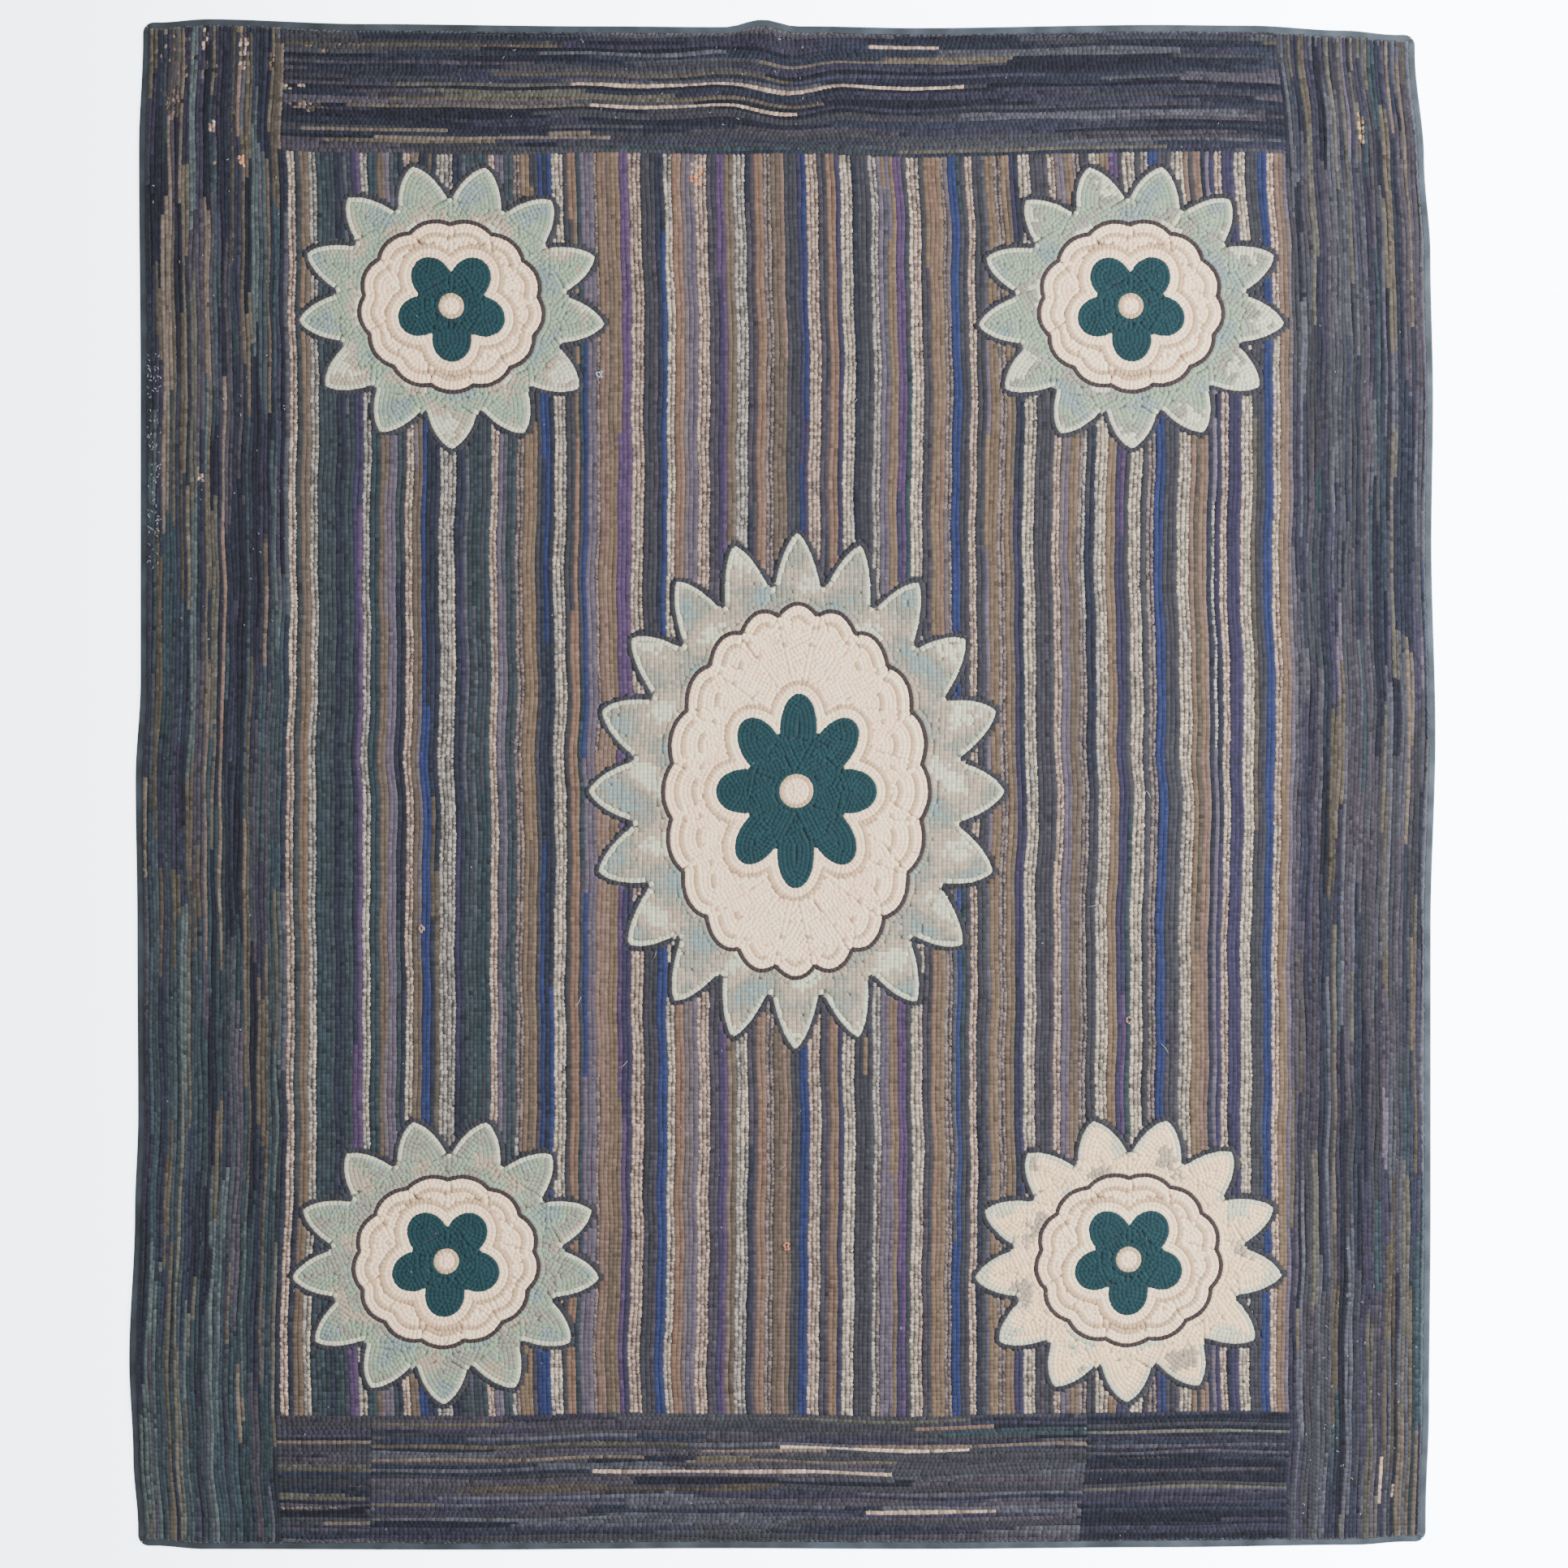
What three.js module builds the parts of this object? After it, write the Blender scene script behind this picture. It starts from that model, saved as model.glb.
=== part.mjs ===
// A hooked rug lying flat: a foundation cloth hooked all over with loops of rag, which make one dense pile,
// and cloth tape folded round its hem as a binding, in four lengths mitred at the corners.
// Millimetres, +Z up. The origin is on the floor under the middle of the rug, and the rug's head is at +Y.
import * as THREE from 'three';

// The lines that just touch the rug on each side
const RUG_WIDTH = 1835;
const RUG_LENGTH = 2150;
const CORNER_RADIUS = 16;

// The pile's loops, from the floor up
const PILE_TOP = 9;
const PILE_SHOULDER = 7.6;
const PILE_WAVE = 0.4;
const PILE_WAVE_LENGTH = 420;

// The hem, which is the foundation turned over at its edge, and the tape folded round it
const HEM_THICKNESS = 1.6;
const TAPE_THICKNESS = 1.2;
const TAPE_SHOWS = 11;
const CLEARANCE = 0.3;

// The one soft ridge, where the head edge is a little too long for its place
const RIDGE_AT = -25;
const RIDGE_HALF_WIDTH = 52;
const RIDGE_REACH = 125;
const RIDGE_HEIGHT = 9;
const RIDGE_BULGE = 9;

// Spacing of the lines that the shapes bend along
const WIDE_SPACING = 88;
const RIDGE_SPACING_ACROSS = 13;
const RIDGE_SPACING_ALONG = 31;
const CORNER_STEPS = 3;
const BEND_STEPS = 4;

const TAPE_BEND = HEM_THICKNESS / 2 + CLEARANCE + TAPE_THICKNESS / 2;
const HEM_EDGE = TAPE_BEND + TAPE_THICKNESS / 2;
const HEM_BOTTOM = TAPE_THICKNESS + CLEARANCE;
const PILE_EDGE = TAPE_SHOWS + CLEARANCE;

// Each edge of the rug wanders inside its line. at: place along the edge from the rug's middle,
// inset: how far the edge lies in from its line there.
const LEFT_EDGE = [
  { at: -1050, inset: 12.5 },
  { at: -950, inset: 5.7 },
  { at: -813, inset: 0 },
  { at: -608, inset: 8 },
  { at: -471, inset: 12.5 },
  { at: -198, inset: 11.4 },
  { at: 7, inset: 9 },
  { at: 144, inset: 16 },
  { at: 555, inset: 16 },
  { at: 897, inset: 13.7 },
  { at: 1050, inset: 19.4 },
];
const RIGHT_EDGE = [
  { at: -1037, inset: 13.7 },
  { at: -882, inset: 9 },
  { at: -608, inset: 6.8 },
  { at: -198, inset: 6.8 },
  { at: 76, inset: 0 },
  { at: 349, inset: 5.7 },
  { at: 555, inset: 3.4 },
  { at: 760, inset: 7 },
  { at: 897, inset: 16 },
  { at: 1050, inset: 29 },
];
const FOOT_EDGE = [
  { at: -894, inset: 5.7 },
  { at: -825, inset: 1 },
  { at: -460, inset: 0 },
  { at: -73, inset: 2 },
  { at: 200, inset: 1 },
  { at: 543, inset: 3.4 },
  { at: 816, inset: 6.8 },
  { at: 890, inset: 11.4 },
];
const HEAD_EDGE = [
  { at: -894, inset: 4.6 },
  { at: -825, inset: 0 },
  { at: -597, inset: 6.8 },
  { at: -255, inset: 10 },
  { at: -96, inset: 11 },
  { at: 41, inset: 10 },
  { at: 200, inset: 12.5 },
  { at: 543, inset: 8 },
  { at: 679, inset: 9 },
  { at: 816, inset: 16 },
  { at: 890, inset: 22 },
];

// The edge's inset at a place along it, easing from one row of its table to the next
function insetAt(edge, place) {
  if (place <= edge[0].at) return edge[0].inset;
  for (let i = 1; i < edge.length; i++) {
    if (place <= edge[i].at) {
      const ease = THREE.MathUtils.smoothstep(place, edge[i - 1].at, edge[i].at);
      return THREE.MathUtils.lerp(edge[i - 1].inset, edge[i].inset, ease);
    }
  }
  return edge[edge.length - 1].inset;
}

// 1 in the middle of a swell and 0 from its rim outwards
function swell(offset, halfWidth) {
  const reach = Math.min(Math.abs(offset) / halfWidth, 1);
  return Math.cos(reach * Math.PI / 2) ** 2;
}

function ridgeAt(x, y) {
  return swell(x - RIDGE_AT, RIDGE_HALF_WIDTH) * swell(RUG_LENGTH / 2 - y, RIDGE_REACH);
}

// Takes a point of the rug as it was drawn, with straight sides, to where it lies
function lay(point) {
  const across = point.x / RUG_WIDTH + 0.5;
  const along = point.y / RUG_LENGTH + 0.5;
  const ridge = ridgeAt(point.x, point.y);
  const left = insetAt(LEFT_EDGE, point.y) * (1 - across);
  const right = insetAt(RIGHT_EDGE, point.y) * across;
  const foot = insetAt(FOOT_EDGE, point.x) * (1 - along);
  const head = insetAt(HEAD_EDGE, point.x) * along;
  return new THREE.Vector3(
    point.x + left - right,
    point.y + foot - head + RIDGE_BULGE * ridge,
    point.z + RIDGE_HEIGHT * ridge,
  );
}

// Stations along one side between its corners' centres: wide steps, and narrow ones over a stretch
function stations(length, narrowFrom, narrowTo, narrowStep) {
  const end = length / 2 - CORNER_RADIUS;
  const stretches = [
    { from: -end, to: narrowFrom, step: WIDE_SPACING },
    { from: narrowFrom, to: narrowTo, step: narrowStep },
    { from: narrowTo, to: end, step: WIDE_SPACING },
  ];
  const places = [-end];
  for (const { from, to, step } of stretches) {
    const count = Math.ceil((to - from) / step);
    for (let i = 1; i <= count; i++) places.push(THREE.MathUtils.lerp(from, to, i / count));
  }
  return [...new Set(places)];
}

const ridgeEnd = RUG_LENGTH / 2 - CORNER_RADIUS;
const ACROSS = stations(
  RUG_WIDTH, RIDGE_AT - RIDGE_HALF_WIDTH, RIDGE_AT + RIDGE_HALF_WIDTH, RIDGE_SPACING_ACROSS,
);
const ALONG = stations(RUG_LENGTH, ridgeEnd - RIDGE_REACH, ridgeEnd, RIDGE_SPACING_ALONG);

// Moves every corner point of a geometry through one function
function reshape(geometry, move) {
  const places = geometry.attributes.position;
  const point = new THREE.Vector3();
  for (let i = 0; i < places.count; i++) {
    point.fromBufferAttribute(places, i);
    const moved = move(point);
    places.setXYZ(i, moved.x, moved.y, moved.z);
  }
  geometry.computeVertexNormals();
  return geometry;
}

// The number of the grid line that a point of a unit box lies on
function lineOf(value, count) {
  return Math.round((value + 0.5) * count);
}

// The hooked ground's section in from the rug's rim: the hem, then the pile's steep edge and its shoulder
const GROUND_SECTION = [
  { inset: HEM_EDGE, bottom: HEM_BOTTOM, top: HEM_BOTTOM + HEM_THICKNESS },
  { inset: PILE_EDGE, bottom: HEM_BOTTOM, top: HEM_BOTTOM + HEM_THICKNESS },
  { inset: PILE_EDGE + 0.4, bottom: 0, top: PILE_SHOULDER },
  { inset: PILE_EDGE + 2.6, bottom: 0, top: PILE_TOP },
  { inset: CORNER_RADIUS, bottom: 0, top: PILE_TOP },
];

// Grid lines of the ground on one axis: the section at each end, and the side's stations between
function groundLines(length, places) {
  const rim = GROUND_SECTION.slice(0, -1).map(({ inset }) => length / 2 - inset);
  return [...rim.map((place) => -place), ...places, ...rim.reverse()];
}

// Rounds the square at a corner, measured from the corner's centre, by turning its edges into arcs
function roundCorner(x, y) {
  const radius = Math.max(x, y);
  if (Math.min(x, y) <= 0) return { x, y, radius };
  const turn = x >= y ? (y / x) * Math.PI / 4 : Math.PI / 2 - (x / y) * Math.PI / 4;
  return { x: radius * Math.cos(turn), y: radius * Math.sin(turn), radius };
}

// Height of the ground's face or back, at a distance in from the rim
function heightAt(inset, side) {
  for (let i = 1; i < GROUND_SECTION.length; i++) {
    const outer = GROUND_SECTION[i - 1];
    const inner = GROUND_SECTION[i];
    if (inset <= inner.inset) {
      const share = THREE.MathUtils.clamp((inset - outer.inset) / (inner.inset - outer.inset), 0, 1);
      return THREE.MathUtils.lerp(outer[side], inner[side], share);
    }
  }
  return GROUND_SECTION[GROUND_SECTION.length - 1][side];
}

// The pile stands a little higher and lower in long soft waves
function pileWave(x, y, inset) {
  if (inset < CORNER_RADIUS) return 0;
  const turn = 2 * Math.PI / PILE_WAVE_LENGTH;
  return -PILE_WAVE * (1 - Math.sin(x * turn) * Math.cos(y * turn)) / 2;
}

function hookedGround() {
  const columns = groundLines(RUG_WIDTH, ACROSS);
  const rows = groundLines(RUG_LENGTH, ALONG);
  const box = new THREE.BoxGeometry(1, 1, 1, columns.length - 1, rows.length - 1, 1);
  return reshape(box, (point) => {
    const x = columns[lineOf(point.x, columns.length - 1)];
    const y = rows[lineOf(point.y, rows.length - 1)];
    const centreX = RUG_WIDTH / 2 - CORNER_RADIUS;
    const centreY = RUG_LENGTH / 2 - CORNER_RADIUS;
    const fromCentreX = Math.abs(x) - centreX;
    const fromCentreY = Math.abs(y) - centreY;
    const corner = roundCorner(fromCentreX, fromCentreY);
    const inset = Math.min(CORNER_RADIUS - corner.radius, CORNER_RADIUS);
    const side = point.z > 0 ? 'top' : 'bottom';
    const height = heightAt(inset, side) + (side === 'top' ? pileWave(x, y, inset) : 0);
    const drawn = new THREE.Vector3(
      Math.sign(x) * (centreX + corner.x),
      Math.sign(y) * (centreY + corner.y),
      height,
    );
    return lay(drawn);
  });
}

// The tape's section: over the hem, round its edge, and back under it. inset: in from the rim, height: above
// the floor, of the middle of the tape's thickness, outward: the way its outer face looks.
function tapeSection() {
  const low = TAPE_THICKNESS / 2;
  const high = low + 2 * TAPE_BEND;
  const section = [{ inset: TAPE_SHOWS, height: high, outward: Math.PI / 2 }];
  for (let i = 0; i <= BEND_STEPS; i++) {
    const turn = Math.PI * (0.5 - i / BEND_STEPS);
    section.push({
      inset: HEM_EDGE - TAPE_BEND * Math.cos(turn),
      height: low + TAPE_BEND * (1 + Math.sin(turn)),
      outward: turn,
    });
  }
  section.push({ inset: TAPE_SHOWS, height: low, outward: -Math.PI / 2 });
  return section;
}

// The way round one side of the rug, from the middle of one corner to the middle of the next. Each stop has a
// centre that its section is measured from, and the direction that points out of the rug there.
function wayRound(places, halfDepth) {
  const end = places[places.length - 1];
  const depth = halfDepth - CORNER_RADIUS;
  const stops = [];
  for (let i = 0; i < CORNER_STEPS; i++) {
    stops.push({ centre: new THREE.Vector2(-end, depth), turn: (Math.PI / 4) * (1 - i / CORNER_STEPS) });
  }
  for (const place of places) stops.push({ centre: new THREE.Vector2(place, depth), turn: 0 });
  for (let i = 1; i <= CORNER_STEPS; i++) {
    stops.push({ centre: new THREE.Vector2(end, depth), turn: -(Math.PI / 4) * (i / CORNER_STEPS) });
  }
  return stops;
}

// One length of tape along a side. quarter: which side, in quarter turns from the head, anticlockwise.
function tape(places, halfDepth, quarter) {
  const section = tapeSection();
  const stops = wayRound(places, halfDepth);
  const box = new THREE.BoxGeometry(1, 1, 1, stops.length - 1, section.length - 1, 1);
  return reshape(box, (point) => {
    const number = lineOf(point.x, stops.length - 1);
    const stop = stops[number];
    const fold = section[lineOf(point.y, section.length - 1)];
    const half = (point.z > 0 ? 1 : -1) * TAPE_THICKNESS / 2;
    const inset = fold.inset - half * Math.cos(fold.outward);
    const out = new THREE.Vector2(-Math.sin(stop.turn), Math.cos(stop.turn));
    const place = stop.centre.clone().addScaledVector(out, CORNER_RADIUS - inset);
    const onwards = new THREE.Vector2(out.y, -out.x);
    if (number === 0) place.addScaledVector(onwards, CLEARANCE / 2);
    if (number === stops.length - 1) place.addScaledVector(onwards, -CLEARANCE / 2);
    place.rotateAround(new THREE.Vector2(0, 0), quarter * Math.PI / 2);
    return lay(new THREE.Vector3(place.x, place.y, fold.height + half * Math.sin(fold.outward)));
  });
}

const WOOL_RAGS = new THREE.MeshStandardMaterial({ color: 0x5c595f, roughness: 0.95, metalness: 0 });
const COTTON_TAPE = new THREE.MeshStandardMaterial({ color: 0x5b6570, roughness: 0.85, metalness: 0 });

const rug = new THREE.Group();

function addPiece(name, geometry, material) {
  const piece = new THREE.Mesh(geometry, material);
  piece.name = name;
  rug.add(piece);
}

// The same stations serve both sides of a pair, turned half round for the second
const acrossBack = ACROSS.map((place) => -place).reverse();
const alongBack = ALONG.map((place) => -place).reverse();

addPiece('hooked_ground', hookedGround(), WOOL_RAGS);
addPiece('binding_head', tape(ACROSS, RUG_LENGTH / 2, 0), COTTON_TAPE);
addPiece('binding_left', tape(ALONG, RUG_WIDTH / 2, 1), COTTON_TAPE);
addPiece('binding_foot', tape(acrossBack, RUG_LENGTH / 2, 2), COTTON_TAPE);
addPiece('binding_right', tape(alongBack, RUG_WIDTH / 2, 3), COTTON_TAPE);

export default rug;
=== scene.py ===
# %% [markdown]
# # A hooked rug, loop by loop
#
# A hooked rug starts as a piece of burlap. The maker holds a strip of wool rag under it and pulls the strip
# up through the weave with a hook, a loop at a time, in rows that lie close enough to hide the cloth. This
# lesson makes such a rug: the burlap, a hundred thousand loops in their rows, and the tape that binds the
# edge. The CAD model, which is loaded first, fixes the outline, the height of the pile and the soft ridge at
# the head edge, so every piece here is drawn straight and then laid where the CAD has it.

# %% Load the CAD frame
import math

import bmesh
import bpy
import numpy as np
from mathutils.kdtree import KDTree
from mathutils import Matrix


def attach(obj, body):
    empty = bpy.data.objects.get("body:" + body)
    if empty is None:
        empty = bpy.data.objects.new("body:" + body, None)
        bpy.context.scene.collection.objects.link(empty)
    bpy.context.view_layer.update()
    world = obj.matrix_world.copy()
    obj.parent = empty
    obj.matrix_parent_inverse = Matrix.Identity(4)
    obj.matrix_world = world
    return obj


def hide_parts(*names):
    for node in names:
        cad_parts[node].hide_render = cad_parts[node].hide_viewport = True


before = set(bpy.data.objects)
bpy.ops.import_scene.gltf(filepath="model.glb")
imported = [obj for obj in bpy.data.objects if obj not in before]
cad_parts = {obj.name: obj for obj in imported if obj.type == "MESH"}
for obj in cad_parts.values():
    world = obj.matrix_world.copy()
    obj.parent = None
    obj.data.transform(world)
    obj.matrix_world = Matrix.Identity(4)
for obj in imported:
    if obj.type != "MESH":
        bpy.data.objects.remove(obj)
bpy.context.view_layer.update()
MM = 0.001

# %% [markdown]
# ## How the rug lies
#
# The rug is drawn as a true rectangle, which is how it was hooked. It does not lie as one: each edge wanders
# by up to a couple of centimetres, and near the middle of the head edge the cloth is a little too long and
# stands up in one soft ridge. The same few sizes as in the CAD turn a drawn point into the place where it
# lies, and everything below passes through this one step.

# %% The sizes of the rug, in millimetres, and where its edges wander
RUG_WIDTH = 1835
RUG_LENGTH = 2150
CORNER_RADIUS = 16
PILE_TOP = 9
CLOTH_TOP = 3.1
TAPE_SHOWS = 11
CLEARANCE = 0.3
PILE_EDGE = TAPE_SHOWS + CLEARANCE

RIDGE_AT = -25
RIDGE_HALF_WIDTH = 52
RIDGE_REACH = 125
RIDGE_HEIGHT = 9
RIDGE_BULGE = 9

EDGES = {
    "left": {
        "at": [-1050, -950, -813, -608, -471, -198, 7, 144, 555, 897, 1050],
        "by": [12.5, 5.7, 0, 8, 12.5, 11.4, 9, 16, 16, 13.7, 19.4],
    },
    "right": {
        "at": [-1037, -882, -608, -198, 76, 349, 555, 760, 897, 1050],
        "by": [13.7, 9, 6.8, 6.8, 0, 5.7, 3.4, 7, 16, 29],
    },
    "foot": {
        "at": [-894, -825, -460, -73, 200, 543, 816, 890],
        "by": [5.7, 1, 0, 2, 1, 3.4, 6.8, 11.4],
    },
    "head": {
        "at": [-894, -825, -597, -255, -96, 41, 200, 543, 679, 816, 890],
        "by": [4.6, 0, 6.8, 10, 11, 10, 12.5, 8, 9, 16, 22],
    },
}


def eased(table, place):
    """Reads a table of sizes along a line, easing from one entry to the next."""
    at, by = np.array(table["at"], float), np.array(table["by"], float)
    i = np.clip(np.searchsorted(at, place) - 1, 0, len(at) - 2)
    share = np.clip((place - at[i]) / (at[i + 1] - at[i]), 0, 1)
    return by[i] + (by[i + 1] - by[i]) * share * share * (3 - 2 * share)


def swell(offset, half_width):
    """1 in the middle of a swell and 0 from its rim outwards."""
    reach = np.minimum(np.abs(offset) / half_width, 1)
    return np.cos(reach * np.pi / 2) ** 2


def lay(drawn):
    """Takes points of the rug as drawn, in millimetres, to where they lie, in metres."""
    x, y, z = np.asarray(drawn, float).T
    across = x / RUG_WIDTH + 0.5
    along = y / RUG_LENGTH + 0.5
    ridge = swell(x - RIDGE_AT, RIDGE_HALF_WIDTH) * swell(RUG_LENGTH / 2 - y, RIDGE_REACH)
    side_shift = eased(EDGES["left"], y) * (1 - across) - eased(EDGES["right"], y) * across
    end_shift = eased(EDGES["foot"], x) * (1 - along) - eased(EDGES["head"], x) * along
    laid = (x + side_shift, y + end_shift + RIDGE_BULGE * ridge, z + RIDGE_HEIGHT * ridge)
    return np.stack(laid, axis=1) * MM


print("Head edge at its ridge, in mm:", (lay([[RIDGE_AT, RUG_LENGTH / 2, 0]])[0] / MM).round(1))

# %% [markdown]
# ## The rags
#
# Old skirts, coats and blankets are cut in strips 6 to 8 mm wide, so a rug like this has dozens of wools in
# it, no two of one dye. Each is named here with its colour. `fleck` says how much one loop differs from the
# next. A plain flannel hardly does, and lies smooth. A tweed or a washed blanket is thick and springy: its
# loops stand up like beads, and many of them show a second colour, its `speck`.

# %% Wools by name
WOOLS = {
    "cream": {"hex": "#A69A8A", "fleck": 0.15, "speck": "#7E756B"},
    "pink cream": {"hex": "#A08B7C", "fleck": 0.15, "speck": "#796861"},
    "ash": {"hex": "#908982", "fleck": 0.14, "speck": "#6A6560"},
    "rose ash": {"hex": "#716460", "fleck": 0.13, "speck": "#544C4C"},
    "camel": {"hex": "#625244", "fleck": 0.13},
    "rose camel": {"hex": "#66534A", "fleck": 0.13},
    "rust camel": {"hex": "#695347", "fleck": 0.13},
    "olive": {"hex": "#544940", "fleck": 0.13},
    "mauve": {"hex": "#574E50", "fleck": 0.13},
    "lavender": {"hex": "#524B56", "fleck": 0.13},
    "cobalt": {"hex": "#252D50", "fleck": 0.12},
    "violet": {"hex": "#2E2B40", "fleck": 0.12},
    "plum": {"hex": "#453550", "fleck": 0.13},
    "navy": {"hex": "#232632", "fleck": 0.18},
    "ink": {"hex": "#1A1B26", "fleck": 0.18},
    "dusk": {"hex": "#2B2937", "fleck": 0.18},
    "charcoal": {"hex": "#313137", "fleck": 0.13},
    "storm": {"hex": "#2D3439", "fleck": 0.18},
    "slate": {"hex": "#3F3F47", "fleck": 0.18},
    "dark teal": {"hex": "#293339", "fleck": 0.18},
    "plum brown": {"hex": "#39353D", "fleck": 0.18},
    "brown": {"hex": "#48423A", "fleck": 0.18},
    "tan": {"hex": "#5B5149", "fleck": 0.18},
    "moss": {"hex": "#4B4943", "fleck": 0.18},
    "dark brown": {"hex": "#3A3132", "fleck": 0.08},
    "ivory": {"hex": "#F9D6B5", "fleck": 0.05},
    "biscuit": {"hex": "#BFA282", "fleck": 0.06},
    "sage": {"hex": "#879581", "fleck": 0.06},
    "grey sage": {"hex": "#87867A", "fleck": 0.07},
    "pale sage": {"hex": "#BDBDA6", "fleck": 0.05},
    "blush sage": {"hex": "#A29482", "fleck": 0.07},
    "washed cream": {"hex": "#EACBA4", "fleck": 0.06},
    "sea blue": {"hex": "#7B8A86", "fleck": 0.07},
    "teal": {"hex": "#18363C", "fleck": 0.06},
    "faded pink": {"hex": "#9F8979", "fleck": 0.28},
    "peach": {"hex": "#B98263", "fleck": 0.18, "speck": "#A08B7C"},
    "worn pink": {"hex": "#A58D80", "fleck": 0.3, "speck": "#4A4446"},
    "worn brown": {"hex": "#66564F", "fleck": 0.25, "speck": "#3C3838"},
    "sea grey": {"hex": "#424A4B", "fleck": 0.2},
    "straw": {"hex": "#A58D6C", "fleck": 0.15, "speck": "#6B5A48"},
    "lint": {"hex": "#A5A8AC", "fleck": 0.05},
}
WOOL_NAMES = list(WOOLS)
SPECK_SHARE = 0.4


def linear(hex_colour):
    """An sRGB hex value as linear red, green and blue."""
    srgb = [int(hex_colour[i : i + 2], 16) / 255 for i in (1, 3, 5)]
    return [c / 12.92 if c <= 0.04045 else ((c + 0.055) / 1.055) ** 2.4 for c in srgb]


WOOL_COLOURS = np.array([linear(rag["hex"]) for rag in WOOLS.values()])
SPECK_COLOURS = np.array([linear(rag.get("speck", rag["hex"])) for rag in WOOLS.values()])
WOOL_FLECKS = np.array([rag["fleck"] for rag in WOOLS.values()])
BEADED = np.array(["speck" in rag for rag in WOOLS.values()])


def wool(name):
    return WOOL_NAMES.index(name)


print(len(WOOLS), "wools")

# %% [markdown]
# ## The hooking plan
#
# Modelling a hundred thousand loops by hand is out of the question, and scattering them at random would lose
# the rows. So the plan comes first, as plain arrays: where each loop stands, which way its row runs, which
# wool it is and how strong its tone is. The rows are one rag's width apart. Straight rows serve the striped
# field and the border, and rows that follow an outline serve the rosettes.

# %% Rows and loops, and how one plan is put together
ROW_PITCH = 6.05
LOOP_PITCH = 5.8
BEAD_PITCH = 5.0
BORDER_ROW_PITCH = 5.0
BORDER_LOOP_PITCH = 6.6
# A row sways by so much over a stretch of so many mm, and each loop strays from it a little
ROW_SWAY = 0.6
SWAY_STRETCH = (120, 300)
STRAY_ACROSS = 0.15
STRAY_ALONG = 0.25
PLAN = {"x": float, "y": float, "turn": float, "rag": int, "tone": float}
rng = np.random.default_rng(1934)


def plan_of(*values):
    """A hooking plan: for each loop its place, the turn of its row, its rag and the strength of its tone."""
    return {key: column.astype(PLAN[key]) for key, column in zip(PLAN, np.broadcast_arrays(*values))}


def joined(plans):
    return {key: np.concatenate([plan[key] for plan in plans]) for key in PLAN}


def chosen(plan, keep):
    return {key: values[keep] for key, values in plan.items()}


def run_numbers(count, shortest, longest):
    """Numbers the loops of a row by run: a strip of rag gives a run of loops, then the next is taken up."""
    ends = np.cumsum(rng.integers(shortest, longest, size=count // shortest + 2))
    return np.searchsorted(ends, np.arange(count), side="right")


def straight_row(place, start, end, pitch=LOOP_PITCH):
    """Places of the loops in one straight row. They follow the weave of the burlap, so rows keep in step."""
    count = round((end - start) / pitch)
    along = start + (np.arange(count) + 0.5) * (end - start) / count
    phase, stretch = rng.uniform(0, 2 * np.pi), rng.uniform(*SWAY_STRETCH)
    sway = ROW_SWAY * np.sin(along / stretch * 2 * np.pi + phase)
    across = place + sway + rng.normal(0, STRAY_ACROSS, count)
    return along + rng.normal(0, STRAY_ALONG, count), across


# %% How the rows of a whole area wander
FIELD_LEFT = -713
FIELD_RIGHT = 717
FIELD_FOOT = -885
FIELD_HEAD = 894
FIELD_EDGE = 715

# How far to the right the rows have wandered, in all and further with the way down the rug
WANDER_ACROSS = {
    "at": [-713, -570, -440, -270, -120, 180, 330, 450, 590, 717],
    "by": [0, 3, 2.5, 2.5, 7.5, 8.5, 5, 4, 8, 2],
}
WANDER_DOWN = {"at": [-860, -630, -410, -140, -20, 60, 200, 500], "by": [7, 5, 2.5, 4, 4.5, 0, -1.5, 0]}
# Small waves to the right and towards the head: how far they move a loop, and their stretch in mm each way
SWAYS = [{"by": 0.9, "across": 160, "along": 43}, {"by": 0.6, "across": 60, "along": 19}]
LIFTS = [{"by": 1.8, "across": 118, "along": 310}, {"by": 0.9, "across": 47, "along": math.inf, "from": 1.1}]
# The rows of the head strip bow round the ridge
BOWS = [{"at": -215, "half": 80, "by": -3}, {"at": -92, "half": 60, "by": 3},
        {"at": 6, "half": 85, "by": -12}]
# Each movement fades over so many mm: at the rug's edge, at the field's, in the head strip and at its edge
RUG_FADE = 120
FIELD_FADE = 130
HEAD_STRIP_FADE = 60
HEAD_EDGE_FADE = 40


def fading(distance, reach):
    """0 at an edge, 1 from a reach away from it."""
    return np.clip(distance / reach, 0, 1)


def waves(table, x, y):
    return sum(w["by"] * np.sin(x / w["across"] + y / w["along"] + w.get("from", 0)) for w in table)


def drift(x, y):
    """The rows of a whole area lean and sway together, and run true again at the rug's edge."""
    calm = fading(RUG_WIDTH / 2 - np.abs(x), RUG_FADE) * fading(RUG_LENGTH / 2 - np.abs(y), RUG_FADE)
    down = eased(WANDER_DOWN, y) * fading(FIELD_EDGE - np.abs(x), FIELD_FADE)
    sway = eased(WANDER_ACROSS, x) + down + waves(SWAYS, x, y)
    near_head = fading(y - FIELD_HEAD, HEAD_STRIP_FADE) * fading(RUG_LENGTH / 2 - y, HEAD_EDGE_FADE)
    bowed = sum(bow["by"] * swell(x - bow["at"], bow["half"]) for bow in BOWS)
    return x + sway * calm, y + waves(LIFTS, x, y) * calm + bowed * near_head


# %% [markdown]
# ## The striped field
#
# The stripes run the length of the rug, one to four rows each, and their order is read off the rug from left
# to right. A stripe is rarely one wool from end to end: where a strip ran out, the maker took the nearest
# wool at hand, so each stripe also has a second wool that now and then takes over for a stretch, or the
# stripe beside it grows wider by a row. The pale tweeds run through more steadily than the plain wools.

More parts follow.
